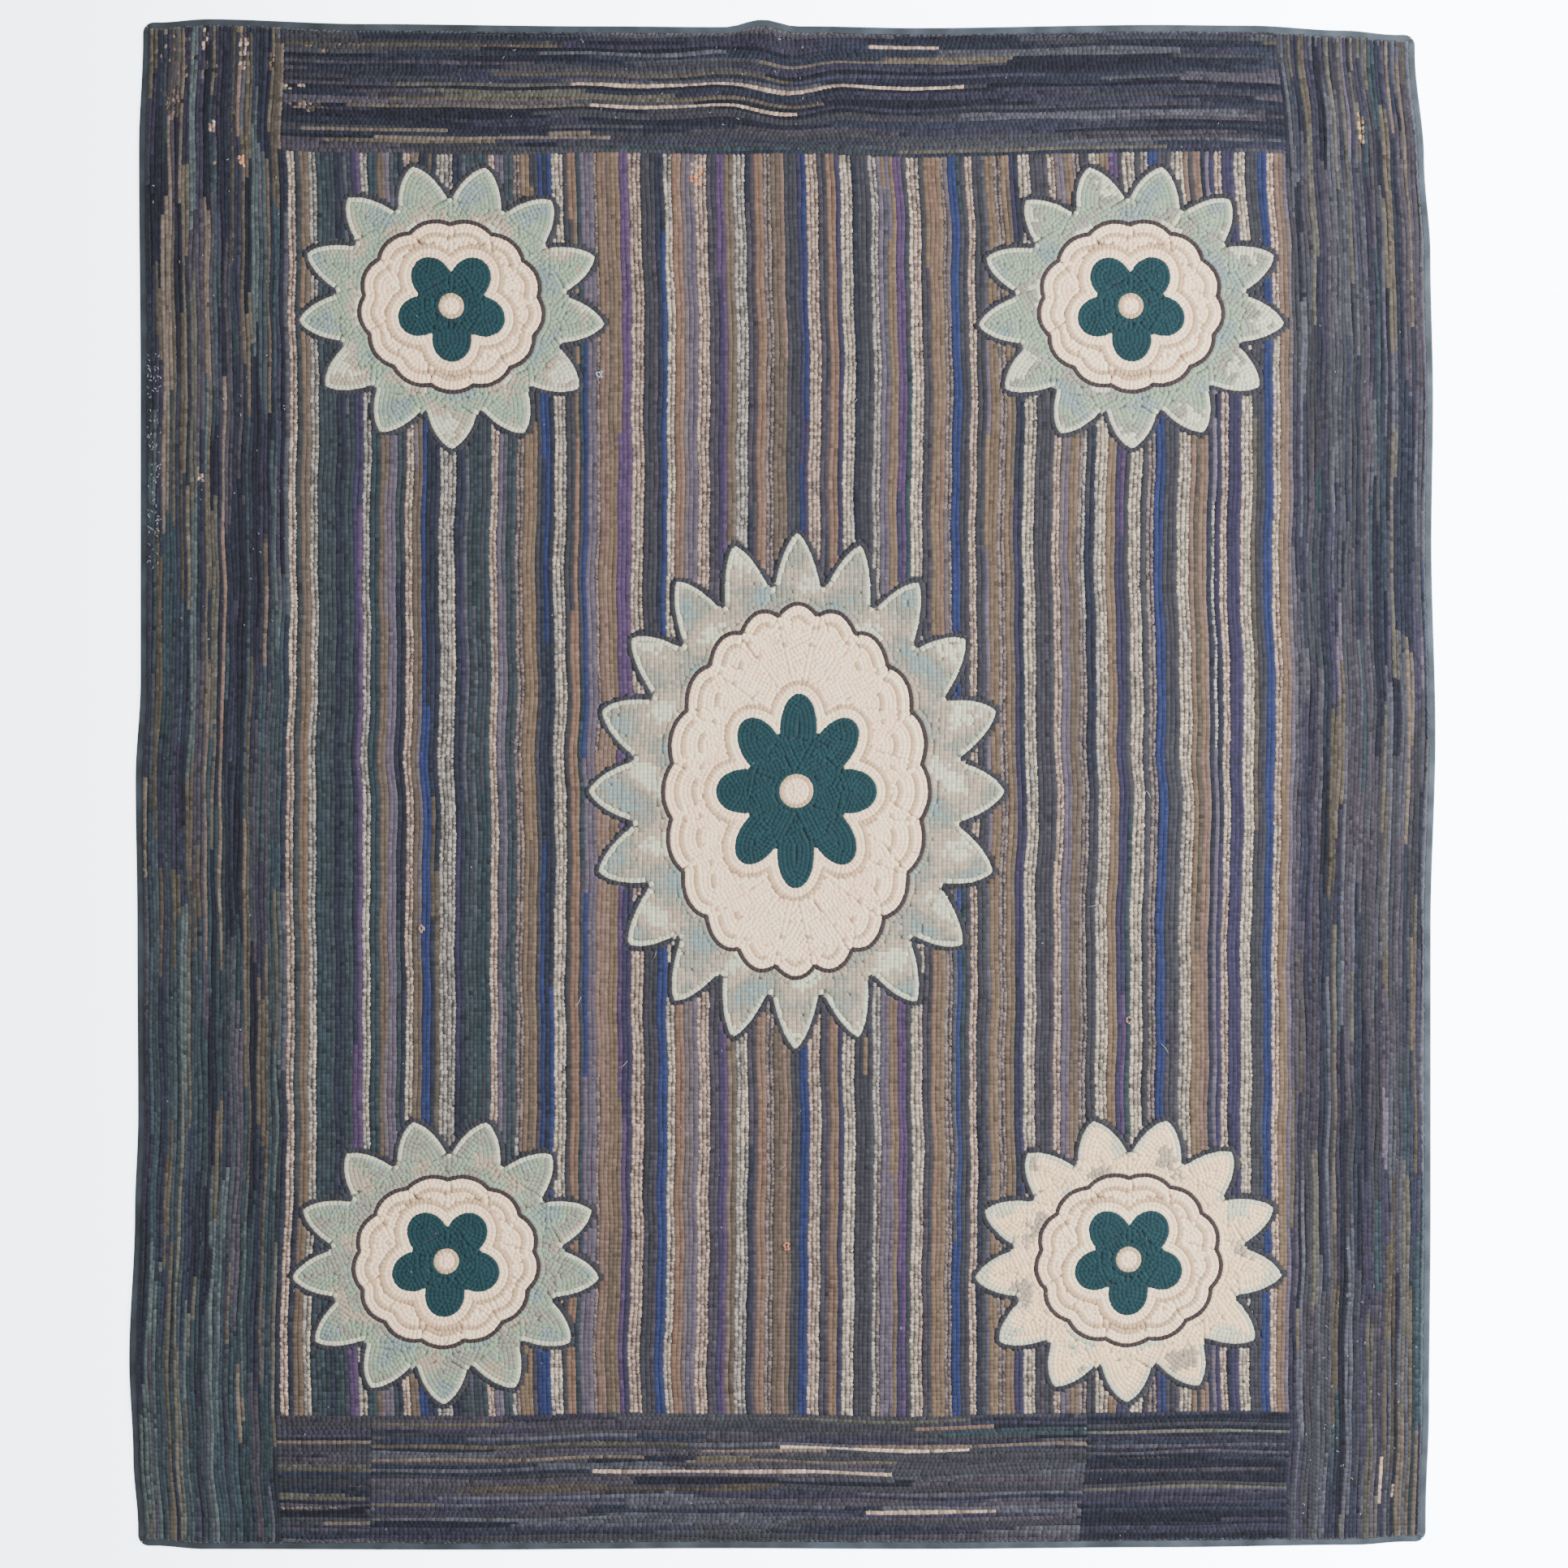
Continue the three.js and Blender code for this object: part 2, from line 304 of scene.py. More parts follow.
# %% The stripes in order: wool, second wool, rows
STRIPE_CHART = """
slate, navy, 1; pink cream, cream, 2; storm, navy, 1; olive, camel, 2; ash, cream, 2;
storm, dark teal, 4; navy, dark teal, 2; storm, slate, 2; violet, navy, 1; plum, violet, 1;
ash, cream, 2; dark teal, charcoal, 2; olive, mauve, 2; lavender, slate, 2; storm, navy, 2;
pink cream, cream, 2; olive, mauve, 2; cobalt, navy, 2; navy, brown, 2; ash, cream, 4; navy, violet, 2;
storm, slate, 3; dark teal, charcoal, 3; pink cream, cream, 2; lavender, slate, 2; storm, olive, 2;
rose ash, ash, 2; camel, olive, 3; charcoal, plum brown, 1; cobalt, navy, 3; cream, ash, 3;
charcoal, plum brown, 1; rust camel, camel, 2; charcoal, dark teal, 1; lavender, cobalt, 3;
rose ash, rose camel, 1; rose camel, camel, 2; camel, olive, 3; plum, violet, 2; pink cream, cream, 3;
charcoal, plum brown, 3; cobalt, navy, 2; cream, ash, 2; rust camel, rose camel, 2; mauve, brown, 1;
lavender, mauve, 2; pink cream, rose camel, 3; plum brown, charcoal, 2; plum, violet, 2; olive, tan, 2;
ash, cream, 3; plum brown, navy, 2; rust camel, rose camel, 2; rose ash, lavender, 2;
olive, rose camel, 3; charcoal, slate, 3; cobalt, violet, 2; pink cream, cream, 3;
charcoal, plum brown, 2; rust camel, camel, 2; violet, plum, 1; cream, ash, 3; charcoal, navy, 2;
charcoal, camel, 2; ash, rose ash, 2; lavender, slate, 2; camel, rust camel, 2; plum, violet, 2;
charcoal, dark teal, 1; cream, pink cream, 3; charcoal, plum brown, 2; camel, rust camel, 3;
rose ash, mauve, 2; cobalt, slate, 2; charcoal, dark teal, 2; pink cream, cream, 2; charcoal, navy, 2;
lavender, slate, 1; camel, rose camel, 2; rose ash, mauve, 2; camel, olive, 2; violet, navy, 2;
cream, ash, 3; charcoal, plum brown, 4; pink cream, cream, 2; lavender, mauve, 2; olive, camel, 2;
rose ash, ash, 2; charcoal, navy, 2; cream, ash, 3; camel, rose camel, 2; plum, violet, 2;
charcoal, dark teal, 1; cream, pink cream, 3; charcoal, brown, 1; rose ash, ash, 2; cobalt, violet, 2;
charcoal, plum brown, 3; cream, ash, 3; camel, rose camel, 1; charcoal, brown, 1; rose camel, camel, 2;
navy, violet, 1; lavender, ash, 1; violet, navy, 1; pink cream, cream, 2; violet, navy, 3;
cream, pink cream, 3; charcoal, brown, 3; cobalt, slate, 2; pink cream, cream, 2; camel, rose camel, 2;
lavender, mauve, 1
"""
STRIPES = [stripe.strip().split(", ") for stripe in STRIPE_CHART.split(";")]
FIELD_RUNS = (24, 110)
FIELD_TONE = 0.07
SECOND_SHARE = 0.2
SECOND_SHARE_PALE = 0.12
BESIDE_SHARE = 0.1


def striped_field():
    """Plans for every row of the field, with the number of the row kept for each loop."""
    rows = [(main, second) for main, second, count in STRIPES for _ in range(int(count))]
    pitch = (FIELD_RIGHT - FIELD_LEFT) / len(rows)
    plans, numbers = [], []
    for number, (main, second) in enumerate(rows):
        beside, _ = rows[number - 1 if number % 2 else min(number + 1, len(rows) - 1)]
        plain = not BEADED[wool(main)]
        place = FIELD_LEFT + (number + 0.5) * pitch
        along, across = straight_row(place, FIELD_FOOT, FIELD_HEAD, LOOP_PITCH if plain else BEAD_PITCH)
        runs = run_numbers(len(along), *FIELD_RUNS)
        chance = rng.random(runs.max() + 1)[runs]
        tone = rng.normal(1, FIELD_TONE, runs.max() + 1)[runs]
        rag = np.where(chance < (SECOND_SHARE if plain else SECOND_SHARE_PALE), wool(second), wool(main))
        if plain and not BEADED[wool(beside)]:
            rag = np.where(chance > 1 - BESIDE_SHARE, wool(beside), rag)
        plans.append(plan_of(*drift(across, along), np.pi / 2, rag, tone))
        numbers.append(np.full(len(along), number))
    print(len(rows), "rows in the field,", round(pitch, 2), "mm apart")
    return joined(plans), np.concatenate(numbers)


field, field_row = striped_field()

# %% [markdown]
# ## The border
#
# The border is hooked hit or miss: whatever dark wool came to hand, run after run, with its rows running the
# length of each strip. The side strips go the full length of the rug, and the head and foot strips lie
# between them. The foot strip is hooked in three lengths, so its runs stop at two seams. One rag often fills
# two rows side by side before the next is taken up, so every other row copies the row before it for a
# stretch. Each mixture is uneven, browner here and bluer there, so the weights below change from one end of
# a strip to the other. A few pale runs are placed one by one, and so are small spots that are worn through
# to a paler layer.

# %% The strips and their mixtures
SIDE_END = RUG_LENGTH / 2 - PILE_EDGE
SIDE_LENGTH = (-SIDE_END, SIDE_END)
FOOT_ROWS = (-SIDE_END, FIELD_FOOT)
FOOT_SEAMS = (-589, 422)
USUAL_RUNS = (9, 70)
STRIPS = {
    "left": {"rows": (-RUG_WIDTH / 2 + PILE_EDGE, FIELD_LEFT), "length": SIDE_LENGTH, "upright": True},
    "right": {"rows": (FIELD_RIGHT, RUG_WIDTH / 2 - PILE_EDGE), "length": SIDE_LENGTH, "upright": True},
    "foot_left": {"rows": FOOT_ROWS, "length": (FIELD_LEFT, FOOT_SEAMS[0]), "runs": (9, 40)},
    "foot": {"rows": FOOT_ROWS, "length": FOOT_SEAMS},
    "foot_right": {"rows": FOOT_ROWS, "length": (FOOT_SEAMS[1], FIELD_RIGHT), "runs": (26, 90)},
    "head": {"rows": (FIELD_HEAD, SIDE_END), "length": (FIELD_LEFT, FIELD_RIGHT)},
}
# For each wool, its weight at the start of the strip (foot or left end) and at its finish
MIXTURES = {
    "left": {"dark teal": (7, 0.8), "navy": (3, 3.4), "ink": (1.2, 4), "dusk": (1, 3.4), "storm": (5, 2),
             "sea grey": (4, 0), "slate": (1, 0.8), "brown": (1, 4), "plum brown": (1.6, 3.4),
             "tan": (0.5, 3), "moss": (1.4, 2), "rose camel": (0.1, 0.6)},
    "right": {"dark teal": (1, 1.2), "navy": (3, 3), "ink": (1.8, 2.4), "dusk": (3, 2.6),
              "charcoal": (4, 4), "slate": (3.4, 3.4), "brown": (1.8, 1.2), "plum brown": (3, 3),
              "tan": (0.4, 0.4), "moss": (1, 1.2), "lavender": (0.4, 0.6)},
    "foot_left": {"navy": (3, 3), "ink": (3.4, 3.4), "dusk": (3, 3), "charcoal": (4, 4), "slate": (2, 2),
                  "plum brown": (2, 2), "moss": (2, 1.4), "tan": (1, 1), "rose ash": (0.4, 0.2)},
    "foot": {"dark teal": (0.5, 0.4), "navy": (2.6, 3), "ink": (1.4, 2), "dusk": (3, 4), "charcoal": (5, 5),
             "slate": (3.4, 2.6), "brown": (2.4, 1.8), "plum brown": (4, 4.4), "tan": (1.2, 0.7),
             "moss": (0.8, 0.5)},
    "foot_right": {"navy": (5, 5), "ink": (9, 9), "dusk": (6, 6), "charcoal": (2, 2), "slate": (1.2, 1.2),
                   "plum brown": (1.6, 1.6), "moss": (1.4, 1.4)},
    "head": {"dark teal": (0.5, 0.5), "navy": (4.8, 6), "ink": (4.2, 6.6), "dusk": (3, 3.6),
             "charcoal": (4.4, 3.2), "slate": (2.2, 1.8), "brown": (1.8, 0.6), "plum brown": (3, 2.4),
             "tan": (0.6, 0.1), "moss": (0.3, 0.1)},
}
# Pale runs: where the row lies across its strip, where the run starts and ends, its wool and tone
PALE_RUNS = {
    "head": [(990, -301, 258, "faded pink", 1), (961, -278, 15, "faded pink", 1),
             (1046, 126, 229, "faded pink", 1), (928, -689, -478, "tan", 1)],
    "foot": [(-902, 178, 292, "rose camel", 1), (-932, -16, 252, "faded pink", 1.35),
             (-968, -278, 144, "faded pink", 1), (-1020, 110, 298, "faded pink", 1)],
    "right": [(826, 907, 962, "straw", 1), (831, 912, 958, "straw", 1),
              (851, -1016, -950, "faded pink", 1), (871, -1011, -990, "pink cream", 1)],
    "left": [(-834, 427, 443, "cream", 1), (-828, 425, 438, "pink cream", 1)],
}

# %% Hook the strips
COPY_SHARE = 0.45
COPY_SLIP = 7
COPIED_TONE = 0.7
BORDER_TONE = 0.15
# Rows differ in how close their loops are, lie a little off their place, and bend by so much over so many mm
PITCH_SHARE = (0.97, 1.03)
ROW_SHIFT = 0.5
ROW_BEND = 1.1
BEND_STRETCH = (25, 60)


def mixed_rags(name, runs):
    """The rag of each loop in a row: one for each run, picked from the mixture where the run starts."""
    rags = np.array([wool(rag) for rag in MIXTURES[name]])
    weights = np.array(list(MIXTURES[name].values()), float)
    starts = (np.searchsorted(runs, np.arange(runs.max() + 1)) / len(runs))[:, None]
    odds = weights[:, 0] * (1 - starts) + weights[:, 1] * starts
    chance = rng.random(starts.shape)
    picks = (odds.cumsum(axis=1) / odds.sum(axis=1, keepdims=True) < chance).sum(axis=1)
    return rags[picks][runs]


def border_strip(name):
    strip = STRIPS[name]
    low, high = strip["rows"]
    count = round((high - low) / BORDER_ROW_PITCH)
    pitch = (high - low) / count
    plans, before = [], None
    for number in range(count):
        place = low + (number + 0.5) * pitch
        loop_pitch = BORDER_LOOP_PITCH * rng.uniform(*PITCH_SHARE)
        along, across = straight_row(place + rng.normal(0, ROW_SHIFT), *strip["length"], loop_pitch)
        across = across + ROW_BEND * np.sin(along / rng.uniform(*BEND_STRETCH) + number)
        runs = run_numbers(len(along), *strip.get("runs", USUAL_RUNS))
        rag = mixed_rags(name, runs)
        tone = rng.normal(1, BORDER_TONE, runs.max() + 1)[runs]
        if number % 2:
            copies = rng.random(runs.max() + 1)[runs] < COPY_SHARE
            slip = rng.integers(-COPY_SLIP, COPY_SLIP + 1)
            same = np.arange(len(along)) * len(before[0]) // len(along)
            copied_rag, copied_tone = (np.roll(column, slip)[same] for column in before)
            rag = np.where(copies, copied_rag, rag)
            tone = np.where(copies, copied_tone * COPIED_TONE + 1 - COPIED_TONE, tone)
        before = rag, tone
        rag, tone = rag.copy(), tone.copy()
        for row_at, start, end, pale_wool, strength in PALE_RUNS.get(name, []):
            if abs(row_at - place) <= pitch / 2:
                pale = (along > start) & (along < end)
                rag[pale], tone[pale] = wool(pale_wool), strength
        if strip.get("upright"):
            plans.append(plan_of(*drift(across, along), np.pi / 2, rag, tone))
        else:
            plans.append(plan_of(*drift(along, across), 0, rag, tone))
    print(name, "strip:", count, "rows,", round(pitch, 2), "mm apart")
    return joined(plans)


# Worn spots: the middle, how far each reaches, the wool that shows, and in what share of the loops it does
WORN = [
    (-772, 1031, 8, 28, "worn pink", 0.9), (-828, 1046, 6, 16, "worn pink", 0.9),
    (-733, 1018, 6, 15, "worn brown", 0.9), (-869, 961, 12, 24, "worn brown", 0.9),
    (-812, 923, 8, 9, "worn pink", 0.9), (-806, 872, 4, 11, "worn pink", 0.9),
    (-770, 876, 7, 9, "peach", 0.9), (-850, 1010, 50, 50, "worn brown", 0.1),
    (-695, 984, 20, 6, "worn pink", 0.4), (-680, 957, 34, 7, "worn brown", 0.9),
    (-640, 1040, 45, 10, "worn brown", 0.35), (-122, 867, 10, 20, "peach", 0.9),
]


def worn(plan):
    for x, y, half_width, half_length, worn_wool, share in WORN:
        near = ((plan["x"] - x) / half_width) ** 2 + ((plan["y"] - y) / half_length) ** 2 < 1
        shows = near & (rng.random(len(near)) < share)
        plan["rag"][shows], plan["tone"][shows] = wool(worn_wool), 1
    return plan


borders = {name: worn(border_strip(name)) for name in STRIPS}
borders["foot"] = joined([borders.pop("foot_left"), borders["foot"], borders.pop("foot_right")])
field = worn(field)

# %% [markdown]
# ## Five rosettes
#
# A large rosette lies in the middle of the field and a smaller one in each corner: a wreath of pointed
# petals round a pale ground, with a flower at the heart. Each outline is a distance from a middle point that
# changes with the angle, so a point is inside when it is nearer than the outline in its direction. The rows
# follow the outline inwards, row by row, as a hooker outlines a motif first and then fills it.

# %% Outlines
OUTLINE_POINTS = 1600


def petals(count, depth, sharpness, turn=0.0):
    """Distance from the middle at each angle: 1 at the petals' tips and 1 - depth between them."""

    def reach(angle):
        share = (angle + turn) * count / (2 * np.pi) % 1
        from_tip = np.minimum(share, 1 - share) * 2
        return 1 - depth * from_tip**sharpness

    return reach


def outline_points(shape):
    angle = np.linspace(0, 2 * np.pi, OUTLINE_POINTS, endpoint=False)
    reach = shape["reach"](angle)
    x = shape["centre"][0] + shape["half"][0] * reach * np.cos(angle)
    y = shape["centre"][1] + shape["half"][1] * reach * np.sin(angle)
    return np.stack([x, y], axis=1)


def inside(shape, x, y):
    u = (x - shape["centre"][0]) / shape["half"][0]
    v = (y - shape["centre"][1]) / shape["half"][1]
    return np.hypot(u, v) < shape["reach"](np.arctan2(v, u))


def tree_of(xs, ys, numbers):
    """A search tree of the numbered points."""
    tree = KDTree(len(numbers))
    for i in numbers:
        tree.insert((xs[i], ys[i], 0), i)
    tree.balance()
    return tree


# %% Rows that follow an outline
RIM_SLACK = 0.3
FEWEST_POINTS = 4


def echo_row(shape, depth):
    """Loops of one row at a depth inside an outline, or outside it where the depth is negative."""
    rim = outline_points(shape)
    along = np.roll(rim, -1, axis=0) - np.roll(rim, 1, axis=0)
    along /= np.linalg.norm(along, axis=1, keepdims=True)
    inward = np.stack([-along[:, 1], along[:, 0]], axis=1)
    row = rim + inward * depth
    tree = tree_of(*rim.T, range(len(rim)))
    away = np.array([tree.find((x, y, 0))[2] for x, y in row])
    true_row = away > abs(depth) - RIM_SLACK
    step = np.linalg.norm(np.roll(row, -1, axis=0) - row, axis=1)
    walked = np.concatenate([[0], np.cumsum(np.where(true_row, step, 0))])[:-1]
    total = walked[-1] + step[-1]
    if true_row.sum() < FEWEST_POINTS:
        return np.zeros((0, 2)), np.zeros(0)
    places = np.arange(0, total - LOOP_PITCH / 2, total / max(round(total / LOOP_PITCH), 1))
    kept = np.flatnonzero(true_row)
    at = kept[np.clip(np.searchsorted(walked[kept], places), 0, len(kept) - 1)]
    return row[at], np.arctan2(along[at, 1], along[at, 0])


class Spots:
    """The loops placed so far in an area, so that no two stand in one place."""

    def __init__(self):
        self.cells = {}

    def clear(self, x, y, room):
        column, row = int(x // ROW_PITCH), int(y // ROW_PITCH)
        for i in (column - 1, column, column + 1):
            for j in (row - 1, row, row + 1):
                for a, b in self.cells.get((i, j), ()):
                    if (a - x) ** 2 + (b - y) ** 2 < room * room:
                        return False
        return True

    def take(self, x, y):
        self.cells.setdefault((int(x // ROW_PITCH), int(y // ROW_PITCH)), []).append((x, y))


# %% [markdown]
# ## Wools of the rosettes
#
# Every rosette has the same bands from the rim inwards: a dark outline and a pale row, the washed greens of
# the petals, a dark line, an ivory ground with biscuit echo lines, and a teal flower with a pale eye. The
# wool of the petals was dyed in small lots and has faded unevenly, so their shade drifts from place to
# place. The petals of the middle rosette are filled with upright rows, and the others with rows that follow
# the rim.

# %% The places of the rosettes and the rows of their bands
CORNER_SIZE = {"half": (224, 207), "petals": 13, "petal_depth": 0.24, "ground": (0.60, 0.60),
               "flower": (0.35, 0.38), "flower_petals": 5, "second_ring": []}
ROSETTES = [
    {"name": "rosette_middle", "centre": (16, -5), "half": (299, 371), "petals": 20, "petal_depth": 0.2,
     "ground": (0.64, 0.72), "flower": (0.38, 0.37), "flower_petals": 8, "upright_rows": True,
     "second_ring": ["ivory", "ivory", "ivory", "biscuit"],
     "wools": ["sea blue", "grey sage", "grey sage", "blush sage", "blush sage", "pale sage"]},
    {"name": "rosette_head_left", "centre": (-475, 678), **CORNER_SIZE,
     "wools": ["sea blue", "sage", "sage", "blush sage", "pale sage"]},
    {"name": "rosette_head_right", "centre": (490, 678), **CORNER_SIZE,
     "wools": ["sea blue", "sage", "sage", "grey sage", "pale sage"]},
    {"name": "rosette_foot_left", "centre": (-475, -668), **CORNER_SIZE,
     "wools": ["sea blue", "sage", "grey sage", "sage", "blush sage"]},
    {"name": "rosette_foot_right", "centre": (490, -668), **CORNER_SIZE,
     "wools": ["pale sage", "washed cream", "washed cream", "washed cream", "blush sage"]},
]
# rows: wools from a band's outline inwards. then: what fills the rest. echoes: rows round the band within
BANDS = {
    "rim": {"rows": ["charcoal", "pale sage"], "then": "mottled", "echoes": ["mottled"]},
    "ground": {"rows": ["dark brown", "ivory", "ivory", "biscuit"], "then": "ivory",
               "echoes": ["ivory", "ivory", "biscuit"]},
    "flower": {"rows": [], "then": "teal", "echoes": ["teal"]},
    "eye": {"rows": ["biscuit"], "then": "ivory", "echoes": []},
}
LINE_WOOLS = ["charcoal", "pale sage", "dark brown", "biscuit"]
EYE = 0.08
TO_HEAD = np.pi / 2
# How deep the notches between the petals go, as a share of the reach, and how sharp they are
PETAL_SHARPNESS = 1.5
SCALLOP = {"depth": 0.05, "sharpness": 2}
FLOWER_PETAL = {"depth": 0.42, "sharpness": 2}
# The room that a loop keeps from those before it, and the room that calls for one more, in row pitches
ROOM = 0.8
GAP_ROOM = 0.88
GAP_STEPS = 2.5
ROSETTE_RUNS = (8, 34)
ROSETTE_TONE = 0.035
# Patches of dye: their stretch in mm each way, how far they bend, and the grain within them
PATCHES = [
    {"stretch": 17, "bend": 1.3, "bend_stretch": 29},
    {"stretch": 15, "bend": 1.1, "bend_stretch": 33},
]
PATCH_GRAIN = 0.28


def rosette_shapes(place):
    """The outlines of one rosette, from the outermost inwards."""
    width, height = place["half"]
    sizes = {
        "rim": (1, 1, petals(place["petals"], place["petal_depth"], PETAL_SHARPNESS, TO_HEAD)),
        "ground": (*place["ground"], petals(place["petals"], **SCALLOP, turn=TO_HEAD)),
        "flower": (*place["flower"], petals(place["flower_petals"], **FLOWER_PETAL, turn=TO_HEAD)),
        "eye": (EYE, EYE * width / height, petals(1, 0, 1)),
    }
    return {
        name: {"centre": place["centre"], "half": (width * across, height * up), "reach": reach}
        for name, (across, up, reach) in sizes.items()
    }


def mottled(place, x, y):
    """Wools of petal loops, which drift through the rosette's own wools in slow patches."""
    drifting = sum(
        np.sin(along / patch["stretch"] + patch["bend"] * np.sin(beside / patch["bend_stretch"]))
        for patch, along, beside in zip(PATCHES, (x, y), (y, x))
    )
    share = np.clip((drifting + rng.normal(0, PATCH_GRAIN, len(x))) / 4 + 0.5, 0, 0.999)
    wools = np.array([wool(name) for name in place["wools"]])
    return wools[(share * len(wools)).astype(int)]


def rows_of(place, band, shape, inner):
    """All rows of one band, as wool, points and turns: round the band within, then from its own rim in."""
    for i, name in enumerate(BANDS[band]["echoes"]):
        yield name, *echo_row(inner, -(i + 0.5) * ROW_PITCH)
    names = BANDS[band]["rows"] + (place["second_ring"] if band == "ground" else [])
    straight = band == "rim" and place.get("upright_rows")
    deepest = len(names) if straight else int(min(shape["half"]) / ROW_PITCH) + 1
    for i in range(deepest):
        name = names[i] if i < len(names) else BANDS[band]["then"]
        yield name, *echo_row(shape, (i + 0.5) * ROW_PITCH)
    if straight:
        (x0, y0), (a, b) = shape["centre"], shape["half"]
        for x in np.arange(x0 - a, x0 + a, ROW_PITCH):
            along, across = straight_row(x, y0 - b, y0 + b)
            yield BANDS[band]["then"], np.stack([across, along], axis=1), np.full(len(along), np.pi / 2)


# %% Hook the rosettes


def hook_rosette(place):
    """The innermost band is hooked first, and each band after it keeps clear of what is there."""
    shapes = rosette_shapes(place)
    spots, plans, inner = Spots(), [], None
    for band, shape in reversed(shapes.items()):
        for name, points, turn in rows_of(place, band, shape, inner):
            keep = inside(shape, *points.T)
            if inner:
                keep &= ~inside(inner, *points.T)
            keep &= np.array([spots.clear(x, y, ROOM * ROW_PITCH) for x, y in points], bool)
            points, turn = points[keep], turn[keep]
            if not len(points):
                continue
            for x, y in points:
                spots.take(x, y)
            runs = run_numbers(len(points), *ROSETTE_RUNS)
            tone = rng.normal(1, ROSETTE_TONE, runs.max() + 1)[runs]
            rag = mottled(place, *points.T) if name == "mottled" else wool(name)
            plans.append(plan_of(*points.T, turn, rag, tone))
        inner = shape
    plans.append(fill_gaps(place, shapes["rim"], joined(plans), spots))
    return shapes["rim"], spots, joined(plans)


def fill_gaps(place, rim, plan, spots):
    """Single loops in the small places that the rows left open, each in its neighbour's wool."""
    (x0, y0), (a, b) = place["centre"], place["half"]
    step = ROW_PITCH / GAP_STEPS
    xs, ys = np.meshgrid(np.arange(x0 - a, x0 + a, step), np.arange(y0 - b, y0 + b, step))
    xs, ys = xs.ravel(), ys.ravel()
    within = inside(rim, xs, ys)
    lines = [wool(name) for name in LINE_WOOLS]
    tree = tree_of(plan["x"], plan["y"], np.flatnonzero(~np.isin(plan["rag"], lines)))
    added = []
    for x, y in zip(xs[within], ys[within]):
        if spots.clear(x, y, GAP_ROOM * ROW_PITCH):
            spots.take(x, y)
            beside = tree.find((x, y, 0))[1]
            added.append((x, y, plan["turn"][beside], plan["rag"][beside], plan["tone"][beside]))
    print(place["name"], len(plan["x"]), "loops in rows and", len(added), "in gaps")
    return plan_of(*np.array(added).T)


rosettes = {place["name"]: hook_rosette(place) for place in ROSETTES}

# %% Clear the field where a rosette stands
BESIDE_RIM = 20
outside = np.ones(len(field["x"]), bool)
for rim, spots, _ in rosettes.values():
    away = np.hypot(field["x"] - rim["centre"][0], field["y"] - rim["centre"][1])
    outside &= ~inside(rim, field["x"], field["y"])
    for i in np.flatnonzero((away < max(rim["half"]) + BESIDE_RIM) & outside):
        outside[i] = spots.clear(field["x"][i], field["y"][i], ROOM * ROW_PITCH)
field, field_row = chosen(field, outside), field_row[outside]
print(len(field["x"]), "loops left in the striped field")

# %% [markdown]
# ## One loop of rag
#
# The shape that is repeated so often has to be very light. A loop pulled up between two threads looks like a
# short cushion: wider at its foot, with a rounded back that runs along the row. A cube whose top corners are
# joined in pairs has that form, like a hipped roof, and smooth shading rounds it.

# %% Model one loop, a unit long, wide and high
LOOP_BACK = 0.44


def standing_cube():
    cube = bmesh.new()
    bmesh.ops.create_cube(cube, size=1)
    bmesh.ops.translate(cube, verts=cube.verts, vec=(0, 0, 0.5))
    return cube


def triangles_of(shape):
    """The points and triangles of a small closed shape, whose bmesh is then let go."""
    bmesh.ops.triangulate(shape, faces=shape.faces)
    bmesh.ops.recalc_face_normals(shape, faces=shape.faces)
    shape.verts.index_update()
    points = np.array([v.co for v in shape.verts])
    faces = np.array([[v.index for v in face.verts] for face in shape.faces])
    shape.free()
    return points, faces


loop_shape = standing_cube()
for side in (-1, 1):
    pair = [v for v in loop_shape.verts if v.co.z > 0.5 and v.co.x * side > 0]
    bmesh.ops.pointmerge(loop_shape, verts=pair, merge_co=(LOOP_BACK / 2 * side, 0, 1))
LOOP_POINTS, LOOP_FACES = triangles_of(loop_shape)
print("One loop has", len(LOOP_FACES), "triangles")

# %% Repeat a small shape over a plan


def in_scene(name, mesh, material):
    mesh.materials.append(material)
    piece = bpy.data.objects.new(name, mesh)
    bpy.context.scene.collection.objects.link(piece)
    return piece


def triangle_piece(name, points, faces, material):
    """A smooth triangle mesh, in metres, as an object in the scene."""
    mesh = bpy.data.meshes.new(name)
    mesh.vertices.add(len(points))
    mesh.vertices.foreach_set("co", points.ravel())
    mesh.loops.add(faces.size)
    mesh.loops.foreach_set("vertex_index", faces.ravel())
    mesh.polygons.add(len(faces))
    mesh.polygons.foreach_set("loop_start", np.arange(0, faces.size, 3))
    mesh.update(calc_edges=True)
    mesh.polygons.foreach_set("use_smooth", np.ones(len(faces), bool))
    return in_scene(name, mesh, material)


def repeated(plan, points, faces, length, width, height, foot):
    """Points, drawn in millimetres, and faces of a unit shape set at every place of a plan."""
    u = points[:, 0] * length[:, None]
    v = points[:, 1] * width[:, None]
    x = plan["x"][:, None] + np.cos(plan["turn"])[:, None] * u - np.sin(plan["turn"])[:, None] * v
    y = plan["y"][:, None] + np.sin(plan["turn"])[:, None] * u + np.cos(plan["turn"])[:, None] * v
    z = foot + points[:, 2] * height[:, None]
    drawn = np.stack([x, y, z], axis=2).reshape(-1, 3)
    places = np.arange(len(plan["x"]))[:, None, None] * len(points)
    return drawn, (faces[None] + places).reshape(-1, 3)


def top_view_map(mesh, drawn):
    """A map of the piece seen from above, which keeps neighbouring loops side by side."""
    low, high = drawn[:, :2].min(axis=0), drawn[:, :2].max(axis=0)
    spread = (drawn[:, :2] - low) / (high - low)
    corners = np.zeros(len(mesh.loops), int)
    mesh.loops.foreach_get("vertex_index", corners)
    layer = mesh.uv_layers.new(name="OFBake")
    layer.data.foreach_set("uv", spread[corners].ravel())


